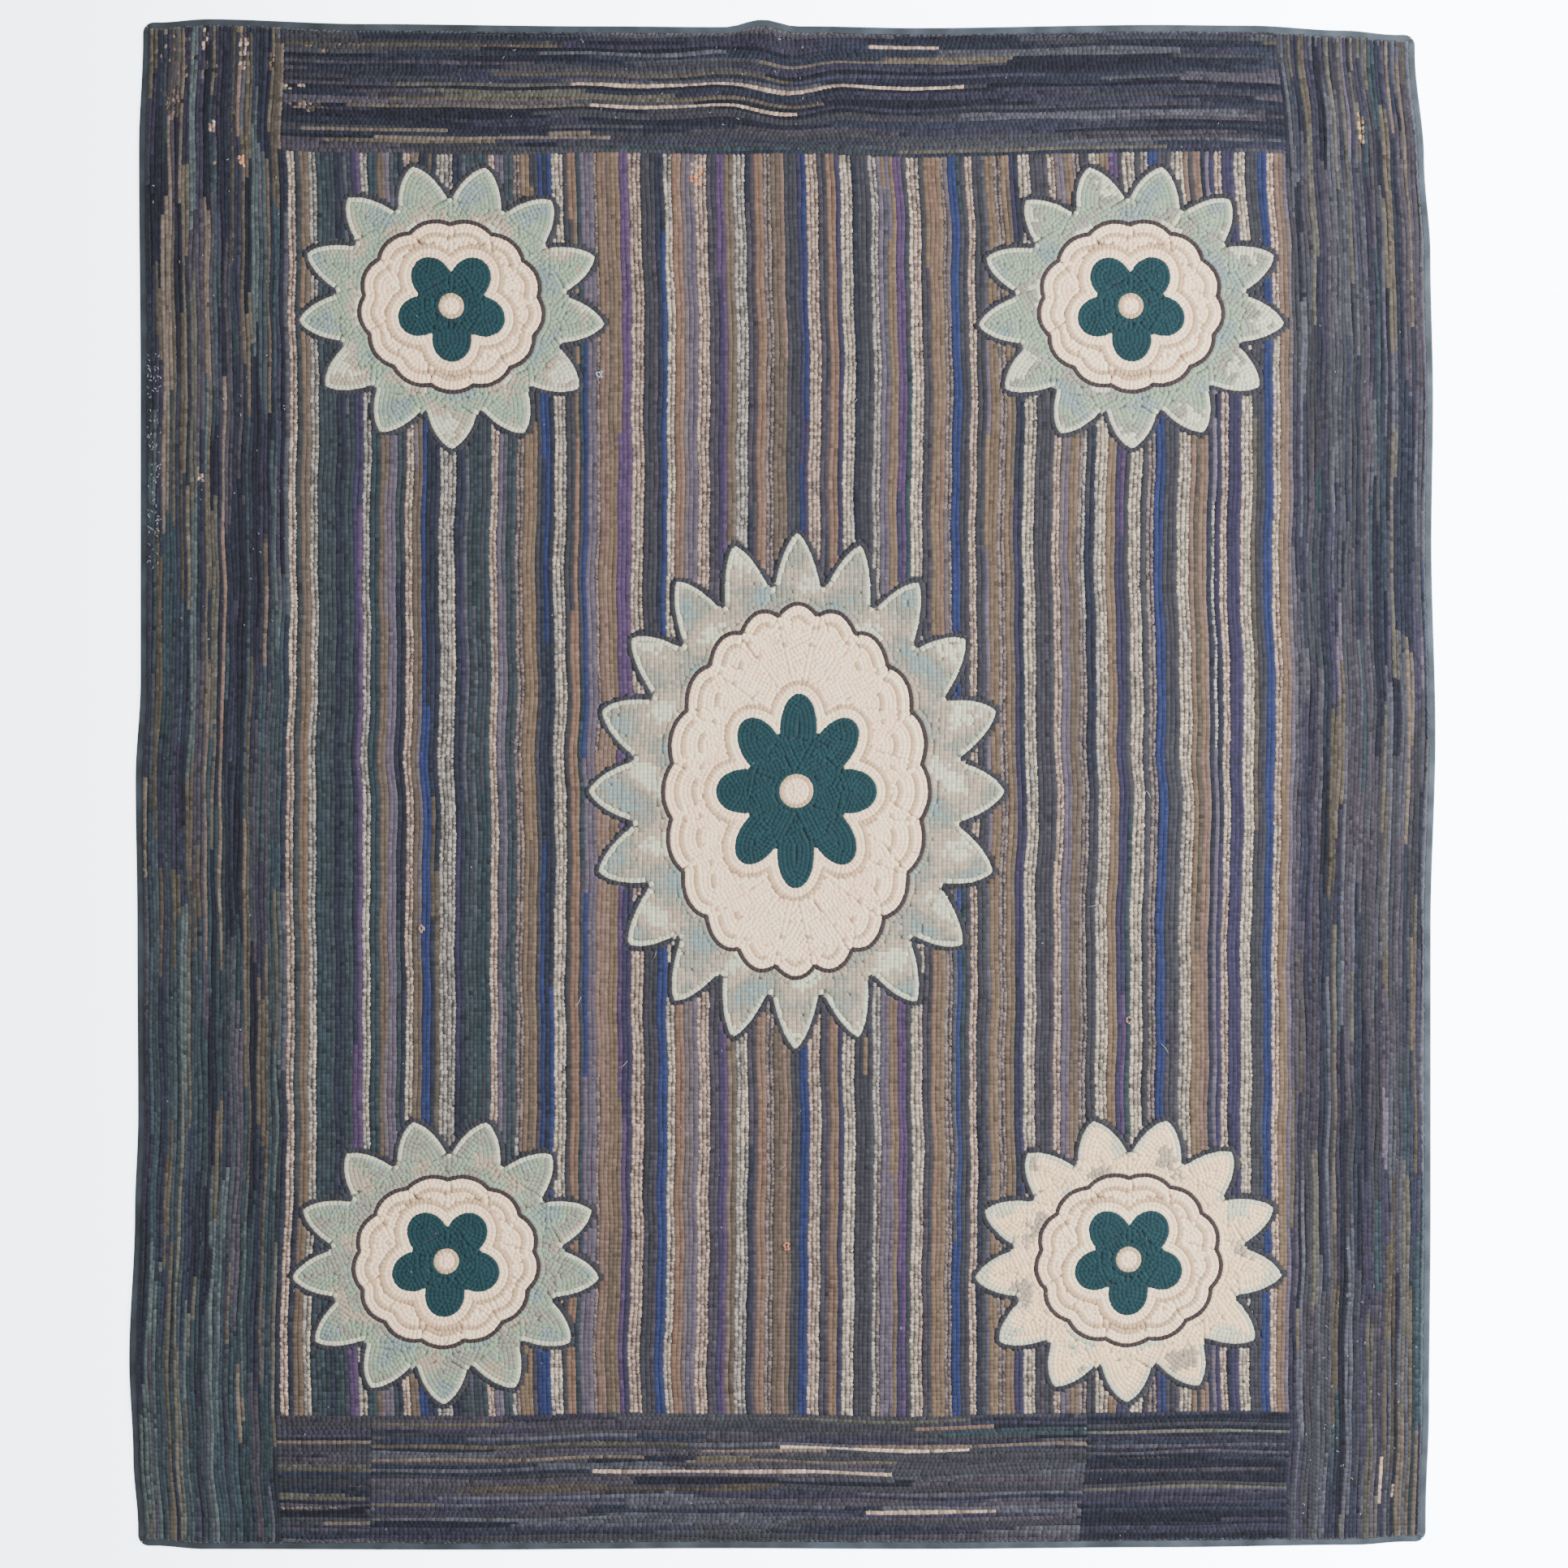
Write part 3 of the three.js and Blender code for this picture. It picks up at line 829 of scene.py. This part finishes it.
def colour_piece(piece, colour):
    """Gives each point of a piece its wool's colour."""
    colour = np.concatenate([colour, np.ones((len(colour), 1))], axis=1)
    layer = piece.data.color_attributes.new("rag_colour", "FLOAT_COLOR", "POINT")
    layer.data.foreach_set("color", colour.ravel())


# %% Hook an area
# Sizes in mm. A smooth loop is wide, overlaps its neighbours and lies true. A beaded one stands alone and is
# uneven. Beside the tape every loop is narrow, so that the tape stays in sight.
SMOOTH_LOOP = {"length": 9.6, "width": 14, "uneven": 0.35, "sunk": 0.1}
BEADED_LOOP = {"length": 7.1, "width": 8.0, "uneven": 1, "sunk": 0.24}
LOOP_FOOT = 4.6
UNEVEN_SIZE = 0.08
UNEVEN_PLACE = 0.45
UNEVEN_TURN = 0.35
OVER_TAPE = 1
TONE_LIMITS = (0.4, 1.6)
BRIGHTEST = 0.9


def hook_pile(name, plan, material, longer=1.0, wider=1.0):
    """A loop at every place of one area's plan, longer and wider than the usual loop by these shares."""
    count = len(plan["x"])
    fleck, beaded = WOOL_FLECKS[plan["rag"]], BEADED[plan["rag"]]
    loop = {key: np.where(beaded, BEADED_LOOP[key], SMOOTH_LOOP[key]) for key in SMOOTH_LOOP}
    size = 1 + UNEVEN_SIZE * loop["uneven"] * rng.normal(0, 1, count)
    length, width = loop["length"] * size * longer, loop["width"] * size * wider
    from_edge = np.minimum(RUG_WIDTH / 2 - np.abs(plan["x"]), RUG_LENGTH / 2 - np.abs(plan["y"]))
    width = np.minimum(width, 2 * (from_edge - TAPE_SHOWS + OVER_TAPE))
    height = (PILE_TOP - LOOP_FOOT) * (1 - loop["sunk"] * rng.random(count))
    moved = dict(plan)
    for key, by in (("x", UNEVEN_PLACE), ("y", UNEVEN_PLACE), ("turn", UNEVEN_TURN)):
        moved[key] = plan[key] + by * loop["uneven"] * rng.normal(0, 1, count)
    drawn, faces = repeated(moved, LOOP_POINTS, LOOP_FACES, length, width, height, LOOP_FOOT)
    piece = triangle_piece(name, lay(drawn), faces, material)
    specks = (rng.random(count) < SPECK_SHARE)[:, None]
    colour = np.where(specks, SPECK_COLOURS[plan["rag"]], WOOL_COLOURS[plan["rag"]])
    strength = np.clip(plan["tone"] * (1 + fleck * rng.normal(0, 1, count)), *TONE_LIMITS)
    colour = np.clip(colour * strength[:, None], 0, BRIGHTEST)
    colour_piece(piece, np.repeat(colour, len(LOOP_POINTS), axis=0))
    top_view_map(piece.data, drawn)
    print(name, count, "loops,", len(faces), "triangles")
    return piece


# %% [markdown]
# ## Materials
#
# One small function adds a node with its settings and its links, so that each material reads as a list of
# what it is made of.

# %% A material and its nodes


def new_material(name):
    """A material without nodes, and its node tree."""
    material = bpy.data.materials.new(name)
    material.use_nodes = True
    material.node_tree.nodes.clear()
    return material, material.node_tree


def node(tree, kind, links=None, **settings):
    """Adds a node. links maps an input's name to another node's output, or to a fixed value."""
    added = tree.nodes.new(kind)
    for key, value in settings.items():
        setattr(added, key, value)
    for key, source in (links or {}).items():
        socket = added.inputs[key]
        if isinstance(source, bpy.types.NodeSocket):
            tree.links.new(source, socket)
        else:
            socket.default_value = source
    return added


def object_place(tree):
    return node(tree, "ShaderNodeTexCoord").outputs["Object"]


def times(tree, first, second):
    return node(tree, "ShaderNodeVectorMath", {0: first, 1: second}, operation="MULTIPLY").outputs[0]


def spread(tree, value, low, high, start=0.0, end=1.0):
    """Turns values from start to end into values from low to high."""
    sizes = {"Value": value, "From Min": start, "From Max": end, "To Min": low, "To Max": high}
    return node(tree, "ShaderNodeMapRange", sizes).outputs[0]


def two_colours(tree, share, first, second, start=0.0, end=1.0):
    ramp = node(tree, "ShaderNodeValToRGB", {"Fac": share})
    for element, colour, place in zip(ramp.color_ramp.elements, (first, second), (start, end)):
        element.color, element.position = (*linear(colour), 1), place
    return ramp.outputs[0]


def relief(tree, height, strength, depth):
    """The normal of a surface with a relief of a depth in mm."""
    sizes = {"Height": height, "Strength": strength, "Distance": depth * MM}
    return node(tree, "ShaderNodeBump", sizes).outputs[0]


def surface(tree, **values):
    """The material's surface. A value's name is that of the input, with _ for a space."""
    inputs = {key.replace("_", " "): value for key, value in values.items()}
    skin = node(tree, "ShaderNodeBsdfPrincipled", inputs)
    node(tree, "ShaderNodeOutputMaterial", {"Surface": skin.outputs[0]})


# %% Wool flannel, woven and fulled, cut in strips
# Fulled wool is matt and soft: it scatters light at its fibre ends, which gives the loops a faint bloom.
# Its nap is about 0.8 mm long, drawn here at 1.4 mm so that it shows.
NAP_MM = 1.4
wool_rag, tree = new_material("wool_flannel_rag_fulled")
dyed = node(tree, "ShaderNodeAttribute", attribute_name="rag_colour").outputs["Color"]
nap = node(
    tree, "ShaderNodeTexNoise", {"Vector": object_place(tree), "Scale": 1 / (NAP_MM * MM), "Detail": 2.0}
).outputs[0]
surface(
    tree,
    Base_Color=times(tree, dyed, spread(tree, nap, 0.86, 1.14, 0.3, 0.7)),
    Roughness=spread(tree, nap, 0.86, 0.98),
    Normal=relief(tree, nap, 0.45, 0.6),
    IOR=1.5,
    Specular_IOR_Level=0.25,
    Sheen_Weight=0.12,
    Sheen_Roughness=0.5,
)

# %% Hook every area
FIELD_PARTS = ("field_left", "field_middle", "field_right")
LONGER, WIDER = BORDER_LOOP_PITCH / LOOP_PITCH, BORDER_ROW_PITCH / ROW_PITCH
pile = {}
for part, part_name in enumerate(FIELD_PARTS):
    mine = (field_row * len(FIELD_PARTS) // (field_row.max() + 1)) == part
    pile[part_name] = hook_pile("pile_" + part_name, chosen(field, mine), wool_rag)
for name, plan in borders.items():
    pile[name] = hook_pile("pile_border_" + name, plan, wool_rag, LONGER, WIDER)
for name, (_, _, plan) in rosettes.items():
    pile[name] = hook_pile("pile_" + name, plan, wool_rag)

# %% [markdown]
# ## Loose ends
#
# After years of use some loops have worked loose, and short ends of thread and lint lie on the wool, most
# thickly along the left edge, at the head and near the lower right corner. An end of thread is a thin bar,
# bent once in the middle. Loose loops stand a little proud of the pile as small tufts.

# %% Model one end of thread, a unit long, wide and high
BEND = 2.6
thread_shape = standing_cube()
whole = [*thread_shape.verts, *thread_shape.edges, *thread_shape.faces]
bmesh.ops.bisect_plane(thread_shape, geom=whole, plane_co=(0, 0, 0), plane_no=(1, 0, 0))
for v in thread_shape.verts:
    v.co.y += BEND * abs(v.co.x)
THREAD_POINTS, THREAD_FACES = triangles_of(thread_shape)
print("One end of thread has", len(THREAD_FACES), "triangles")

# %% Where they lie
# Areas in mm with the number of ends in each, and their shortest and longest length
LINT = [
    {"x": (-907, -888), "y": (300, 610), "count": 90, "length": (2, 5)},
    {"x": (-900, -700), "y": (200, 900), "count": 40, "length": (1.5, 4)},
    {"x": (-430, 60), "y": (930, 1055), "count": 36, "length": (1.5, 5)},
    {"x": (740, 900), "y": (-1050, -650), "count": 50, "length": (1.5, 5)},
    {"x": (-900, 900), "y": (-1060, 1060), "count": 130, "length": (1.2, 3.5)},
    {"x": (-650, 650), "y": (-800, 860), "count": 14, "length": (10, 19)},
]
THREAD = {"width": 0.9, "height": 0.5, "tones": (0.5, 1)}
TUFTS = [(-514, -200, "faded pink"), (-266, 583, "lint"), (5, -648, "peach"), (490, -330, "faded pink")]
TUFT_LOOPS = 7
TUFT_SPREAD = (1.5, 5)
TUFT_LOOP = {"length": 4.6, "width": 3.4, "height": 2.6, "tones": (0.8, 1.1)}
ENDS_SUNK = 0.6


def scattered_ends():
    plans, lengths = [], []
    for area in LINT:
        count = area["count"]
        x, y = rng.uniform(*area["x"], count), rng.uniform(*area["y"], count)
        turn = rng.uniform(0, np.pi, count)
        plans.append(plan_of(x, y, turn, wool("lint"), rng.uniform(*THREAD["tones"], count)))
        lengths.append(rng.uniform(*area["length"], count))
    return joined(plans), np.concatenate(lengths)


def loose_tufts():
    round_about = np.linspace(0, 2 * np.pi, TUFT_LOOPS, endpoint=False)
    plans = []
    for x, y, tuft_wool in TUFTS:
        out = rng.uniform(*TUFT_SPREAD, TUFT_LOOPS)
        at = x + out * np.cos(round_about), y + out * np.sin(round_about)
        tone = rng.uniform(*TUFT_LOOP["tones"], TUFT_LOOPS)
        plans.append(plan_of(*at, round_about + np.pi / 2, wool(tuft_wool), tone))
    return joined(plans)


ends, end_lengths = scattered_ends()
tufts = loose_tufts()
sorts = [
    (ends, THREAD_POINTS, THREAD_FACES, end_lengths, THREAD),
    (tufts, LOOP_POINTS, LOOP_FACES, TUFT_LOOP["length"], TUFT_LOOP),
]
drawn, faces, colours = [], [], []
for plan, points, corners, length, size in sorts:
    sizes = [np.broadcast_to(s, len(plan["x"])) for s in (length, size["width"], size["height"])]
    part_drawn, part_faces = repeated(plan, points, corners, *sizes, PILE_TOP - ENDS_SUNK)
    faces.append(part_faces + sum(len(part) for part in drawn))
    drawn.append(part_drawn)
    colours.append(np.repeat(WOOL_COLOURS[plan["rag"]] * plan["tone"][:, None], len(points), axis=0))
drawn, faces = np.concatenate(drawn), np.concatenate(faces)
pile["loose_ends"] = triangle_piece("loose_ends", lay(drawn), faces, wool_rag)
colour_piece(pile["loose_ends"], np.concatenate(colours))
top_view_map(pile["loose_ends"].data, drawn)
print("loose_ends", len(faces), "triangles")

# %% [markdown]
# ## Burlap
#
# The cloth under the pile is one flat sheet with a turned hem. Only a thread or two of it ever shows between
# the loops, but it carries the rug, so it has its true outline and thickness. A grid is drawn with lines
# close together at the rim, its corners are turned into arcs, and a second skin below closes it.

# %% Burlap, plain-woven jute
# Jute yarns of 1.3 mm, dull brown, show as a coarse plain weave. A wave texture of scale 1 has about 6.4
# bands in a unit of length, light and dark ones counted apart, and each yarn gets one band.
JUTE_YARN_MM = 1.3
BANDS_IN_UNIT = 6.4
burlap, tree = new_material("jute_burlap_plain_woven")
yarns = {"Vector": object_place(tree), "Scale": 1 / (JUTE_YARN_MM * MM) / BANDS_IN_UNIT, "Distortion": 0.6}
warp, weft = [
    node(tree, "ShaderNodeTexWave", yarns, bands_direction=axis).outputs["Fac"] for axis in ("X", "Y")
]
weave = node(tree, "ShaderNodeMath", {0: warp, 1: weft}, operation="MAXIMUM").outputs[0]
surface(
    tree,
    Base_Color=two_colours(tree, weave, "#2A2724", "#4A433B"),
    Roughness=0.92,
    Normal=relief(tree, weave, 0.6, 0.4),
    Specular_IOR_Level=0.2,
)

# %% The burlap sheet
# Under the pile the cloth is packed with the feet of the loops. The hem is thinner and lies on the tape.
HEM_EDGE = 2.3
HEM_BOTTOM = 1.5
PACKED_TOP = 4.8
GRID_STEP = 40
RIM_LINES = (HEM_EDGE, 7, PILE_EDGE, PILE_EDGE + 0.5, 14)
ROUNDING = 0.1


def grid_lines(length):
    """Places of the sheet's grid lines on one axis, close together at the rim."""
    rim = [length / 2 - inset for inset in RIM_LINES]
    end = length / 2 - CORNER_RADIUS
    count = round(2 * end / GRID_STEP)
    middle = [end - 2 * end * i / count for i in range(count + 1)]
    return np.array([*rim, *middle, *[-place for place in reversed(rim)]])[::-1]


def round_corner(x, y):
    """Turns the square corners of a drawn sheet into arcs, and gives the distance in from the rim."""
    centre = np.array([RUG_WIDTH / 2 - CORNER_RADIUS, RUG_LENGTH / 2 - CORNER_RADIUS])
    over_x, over_y = abs(x) - centre[0], abs(y) - centre[1]
    radius = max(over_x, over_y)
    if min(over_x, over_y) > 0:
        turn = math.pi / 4 * over_y / over_x
        if over_y > over_x:
            turn = math.pi / 2 - math.pi / 4 * over_x / over_y
        over_x, over_y = radius * math.cos(turn), radius * math.sin(turn)
    rounded = math.copysign(centre[0] + over_x, x), math.copysign(centre[1] + over_y, y)
    return *rounded, CORNER_RADIUS - radius


def bmesh_piece(name, shape, material):
    """A bmesh as an object in the scene."""
    mesh = bpy.data.meshes.new(name)
    shape.to_mesh(mesh)
    shape.free()
    return in_scene(name, mesh, material)


def grid_numbers(grid, across, along):
    """For each point of a new grid, the numbers of its two grid lines."""
    return [(round((v.co.x + 1) / 2 * across), round((v.co.y + 1) / 2 * along)) for v in grid.verts]


columns, rows = grid_lines(RUG_WIDTH), grid_lines(RUG_LENGTH)
cloth = bmesh.new()
bmesh.ops.create_grid(cloth, x_segments=len(columns) - 1, y_segments=len(rows) - 1, size=1)
back = bmesh.ops.duplicate(cloth, geom=[*cloth.verts, *cloth.edges, *cloth.faces])
back_verts = {g for g in back["geom"] if isinstance(g, bmesh.types.BMVert)}
drawn = []
for v, (column, row) in zip(cloth.verts, grid_numbers(cloth, len(columns) - 1, len(rows) - 1)):
    x, y, inset = round_corner(columns[column], rows[row])
    on_hem = inset <= PILE_EDGE + ROUNDING
    top, bottom = (CLOTH_TOP, HEM_BOTTOM) if on_hem else (PACKED_TOP, 0)
    drawn.append((x, y, bottom if v in back_verts else top))
for v, place in zip(cloth.verts, lay(drawn)):
    v.co = place
bmesh.ops.bridge_loops(cloth, edges=[edge for edge in cloth.edges if edge.is_boundary])
bmesh.ops.recalc_face_normals(cloth, faces=cloth.faces)
burlap_sheet = bmesh_piece("burlap_sheet", cloth, burlap)
print("burlap_sheet", len(burlap_sheet.data.polygons), "faces")

# %% [markdown]
# ## The binding
#
# Four lengths of cotton twill tape are folded over the hem and hemmed down by hand. A tape is a strip, so it
# is drawn as one: a grid that is bent round the fold and led round its side of the rug from the middle of
# one corner to the middle of the next, then given its thickness. It puckers slightly where it is stitched.

# %% Cotton twill tape, piece-dyed
# The twill's diagonal ribs are 0.9 mm apart in the cloth, drawn here at 2.56 mm so that they show. A wave
# texture of scale 1 that runs diagonally over a flat map has a wave every 4/9 of a unit, and the tape's map
# is in mm. The dye has faded in patches. The colour is also painted lighter towards the right and darker
# towards the left: painted light, as if falling from the right.
TWILL_RIB_MM = 2.56
DIAGONAL_WAVE = 4 / 9
twill_tape, tree = new_material("cotton_twill_tape_dyed")
along_tape = node(tree, "ShaderNodeUVMap", uv_map="cloth_mm").outputs["UV"]
ribbing = {"Vector": along_tape, "Scale": DIAGONAL_WAVE / TWILL_RIB_MM, "Distortion": 1.2}
ribs = node(
    tree, "ShaderNodeTexWave", {**ribbing, "Detail Scale": 2.0}, bands_direction="DIAGONAL"
).outputs["Fac"]
patches = node(tree, "ShaderNodeTexNoise", {"Vector": along_tape, "Scale": 0.02, "Detail": 4.0}).outputs[0]
across_rug = node(tree, "ShaderNodeSeparateXYZ", {0: object_place(tree)}).outputs["X"]
dyed = two_colours(tree, patches, "#2F353B", "#464E57", 0.35, 0.65)
# faded is painted light: it makes the tape darker on the left and lighter on the right, where the light
# comes from.
ribbed, faded = spread(tree, ribs, 0.84, 1.1), spread(tree, across_rug, 0.62, 1.3, -0.9, 0.9)
strength = node(tree, "ShaderNodeMath", {0: ribbed, 1: faded}, operation="MULTIPLY").outputs[0]
surface(
    tree,
    Base_Color=times(tree, dyed, strength),
    Roughness=0.82,
    Normal=relief(tree, ribs, 0.5, 0.25),
    Specular_IOR_Level=0.3,
    Sheen_Weight=0.1,
)

# %% The four lengths of tape
TAPE_THICKNESS = 1.2
HEM_THICKNESS = 1.6
TAPE_BEND = HEM_THICKNESS / 2 + CLEARANCE + TAPE_THICKNESS / 2
TAPE_STEP = 15
BEND_STEPS = 6
CORNER_STEPS = 6
LEG_STEPS = 3
# Where the tape is stitched down it puckers, in waves of two lengths, upwards and over the pile
PUCKERS = (70, 180)
PUCKER_UP = 0.2
PUCKER_OVER = 0.4


def tape_section():
    """Middle of the tape's thickness across its width: over the hem, round its edge and back under it."""
    low = TAPE_THICKNESS / 2
    high = low + 2 * TAPE_BEND
    section = [(inset, high) for inset in np.linspace(TAPE_SHOWS, HEM_EDGE, LEG_STEPS, endpoint=False)]
    for i in range(BEND_STEPS + 1):
        turn = math.pi * (0.5 - i / BEND_STEPS)
        section.append((HEM_EDGE - TAPE_BEND * math.cos(turn), low + TAPE_BEND * (1 + math.sin(turn))))
    section += [(inset, low) for inset in np.linspace(HEM_EDGE, TAPE_SHOWS, LEG_STEPS + 1)[1:]]
    return section


def way_round(half_length, half_depth):
    """Stops along one side: the centre each is measured from, and its turn away from straight out."""
    end = half_length - CORNER_RADIUS
    depth = half_depth - CORNER_RADIUS
    eighths = [math.pi / 4 * (1 - i / CORNER_STEPS) for i in range(CORNER_STEPS)]
    count = round(2 * end / TAPE_STEP)
    stops = [(-end, depth, turn) for turn in eighths]
    stops += [(-end + 2 * end * i / count, depth, 0.0) for i in range(count + 1)]
    stops += [(end, depth, -turn) for turn in reversed(eighths)]
    return stops


def bind(name, half_length, half_depth, quarter):
    """One length of tape. quarter: which side, in quarter turns from the head, anticlockwise."""
    section, stops = tape_section(), way_round(half_length, half_depth)
    last = len(stops) - 1
    strip = bmesh.new()
    bmesh.ops.create_grid(strip, x_segments=last, y_segments=len(section) - 1, size=1)
    numbers = grid_numbers(strip, last, len(section) - 1)
    drawn = []
    for number, fold in numbers:
        centre, depth, turn = stops[number]
        inset, height = section[fold]
        loose = max(1 - fold / LEG_STEPS, 0)
        waves_on = [2 * math.pi * number * TAPE_STEP / length for length in PUCKERS]
        pucker = (math.sin(waves_on[0] + quarter) + math.sin(waves_on[1] + 2 * quarter)) / 2
        height += PUCKER_UP * pucker * loose
        inset -= PUCKER_OVER * (pucker + 1) * loose
        mitre = {0: 1, last: -1}.get(number, 0) * CLEARANCE / 2
        out_x, out_y = -math.sin(turn), math.cos(turn)
        x = centre + out_x * (CORNER_RADIUS - inset) + out_y * mitre
        y = depth + out_y * (CORNER_RADIUS - inset) - out_x * mitre
        for _ in range(quarter):
            x, y = -y, x
        drawn.append((x, y, height))
    for v, place in zip(strip.verts, lay(drawn)):
        v.co = place
    cloth_mm = strip.loops.layers.uv.new("cloth_mm")
    across_tape = [0, *np.cumsum([math.dist(a, b) for a, b in zip(section, section[1:])])]
    strip.verts.index_update()
    for face in strip.faces:
        for corner in face.loops:
            number, fold = numbers[corner.vert.index]
            corner[cloth_mm].uv = (number * TAPE_STEP, across_tape[fold])
    tape = bmesh_piece(name, strip, twill_tape)
    tape.data.shade_smooth()
    thick = tape.modifiers.new("tape_thickness", "SOLIDIFY")
    thick.thickness = TAPE_THICKNESS * MM
    thick.offset = 0
    print(name, len(tape.data.polygons), "faces")
    return tape


HEAD_AND_FOOT = {"half_length": RUG_WIDTH / 2, "half_depth": RUG_LENGTH / 2}
LEFT_AND_RIGHT = {"half_length": RUG_LENGTH / 2, "half_depth": RUG_WIDTH / 2}
SIDES = {"head": HEAD_AND_FOOT, "left": LEFT_AND_RIGHT, "foot": HEAD_AND_FOOT, "right": LEFT_AND_RIGHT}
tapes = {side: bind("tape_" + side, **halves, quarter=i) for i, (side, halves) in enumerate(SIDES.items())}

# %% [markdown]
# ## Pieces on the frame
#
# Every piece hangs on the root, and the CAD part that it replaces is hidden. All of it is one cloth lying
# on the floor, so everything moves with the root.

# %% Hang each piece on the root and hide the CAD part that it replaces
for piece in [burlap_sheet, *pile.values()]:
    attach(piece, "root")
    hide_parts("hooked_ground")
for side, tape in tapes.items():
    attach(tape, "root")
    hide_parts("binding_" + side)

# %% [markdown]
# ## Floor, light and camera
#
# The rug was seen from straight above, on a plain pale floor. A long lens from far off keeps its sides
# parallel. The light is soft and comes mostly from the right, where the floor is brighter.

# %% Floor
# It is no lamp, but it glows with painted light of its own, more towards the right, so that it is as pale as
# the floor was seen to be. The glow also lights the sides of the rug's edge.
FLOOR_HALF_WIDTH = 8
glowing_floor, tree = new_material("pale_floor_painted_glow")
across_room = node(tree, "ShaderNodeSeparateXYZ", {0: object_place(tree)}).outputs["X"]
surface(
    tree,
    Base_Color=(*linear("#F4F4F5"), 1),
    Roughness=0.9,
    # Painted glow: the floor gives off light, from 3.7 at the left to 10.5 at the right.
    Emission_Color=(0.8, 0.9, 1, 1),
    Emission_Strength=spread(tree, across_room, 3.7, 10.5, -1.0, 1.0),
)
ground = bmesh.new()
bmesh.ops.create_grid(ground, x_segments=1, y_segments=1, size=FLOOR_HALF_WIDTH)
bmesh_piece("floor", ground, glowing_floor)

# %% Lamps and sky
LAMPS = [
    {"name": "window_right", "at": (3.6, 0.6, 3.0), "size": 2.6, "watts": 555},
    {"name": "window_left", "at": (-3.4, 1.2, 3.4), "size": 3.0, "watts": 30},
    {"name": "ceiling", "at": (0.4, -0.6, 5.5), "size": 4.0, "watts": 110},
]
for lamp in LAMPS:
    light = bpy.data.lights.new(lamp["name"], "AREA")
    light.size = lamp["size"]
    light.energy = lamp["watts"]
    source = bpy.data.objects.new(lamp["name"], light)
    source.location = lamp["at"]
    source.rotation_euler = (-source.location).to_track_quat("-Z", "Y").to_euler()
    bpy.context.scene.collection.objects.link(source)
sky = bpy.data.worlds.new("pale_room")
sky.use_nodes = True
sky.node_tree.nodes["Background"].inputs["Color"].default_value = (0.92, 0.95, 1.0, 1)
sky.node_tree.nodes["Background"].inputs["Strength"].default_value = 0.56
bpy.context.scene.world = sky

# %% Camera
VIEW_WIDTH = 2.2025
VIEW_CENTRE = (0.0023, 0.0006)
CAMERA_HEIGHT = 12
eye = bpy.data.cameras.new("camera")
eye.sensor_width = 36
eye.lens = eye.sensor_width * CAMERA_HEIGHT / VIEW_WIDTH
camera = bpy.data.objects.new("camera", eye)
camera.location = (*VIEW_CENTRE, CAMERA_HEIGHT)
bpy.context.scene.collection.objects.link(camera)
bpy.context.scene.camera = camera
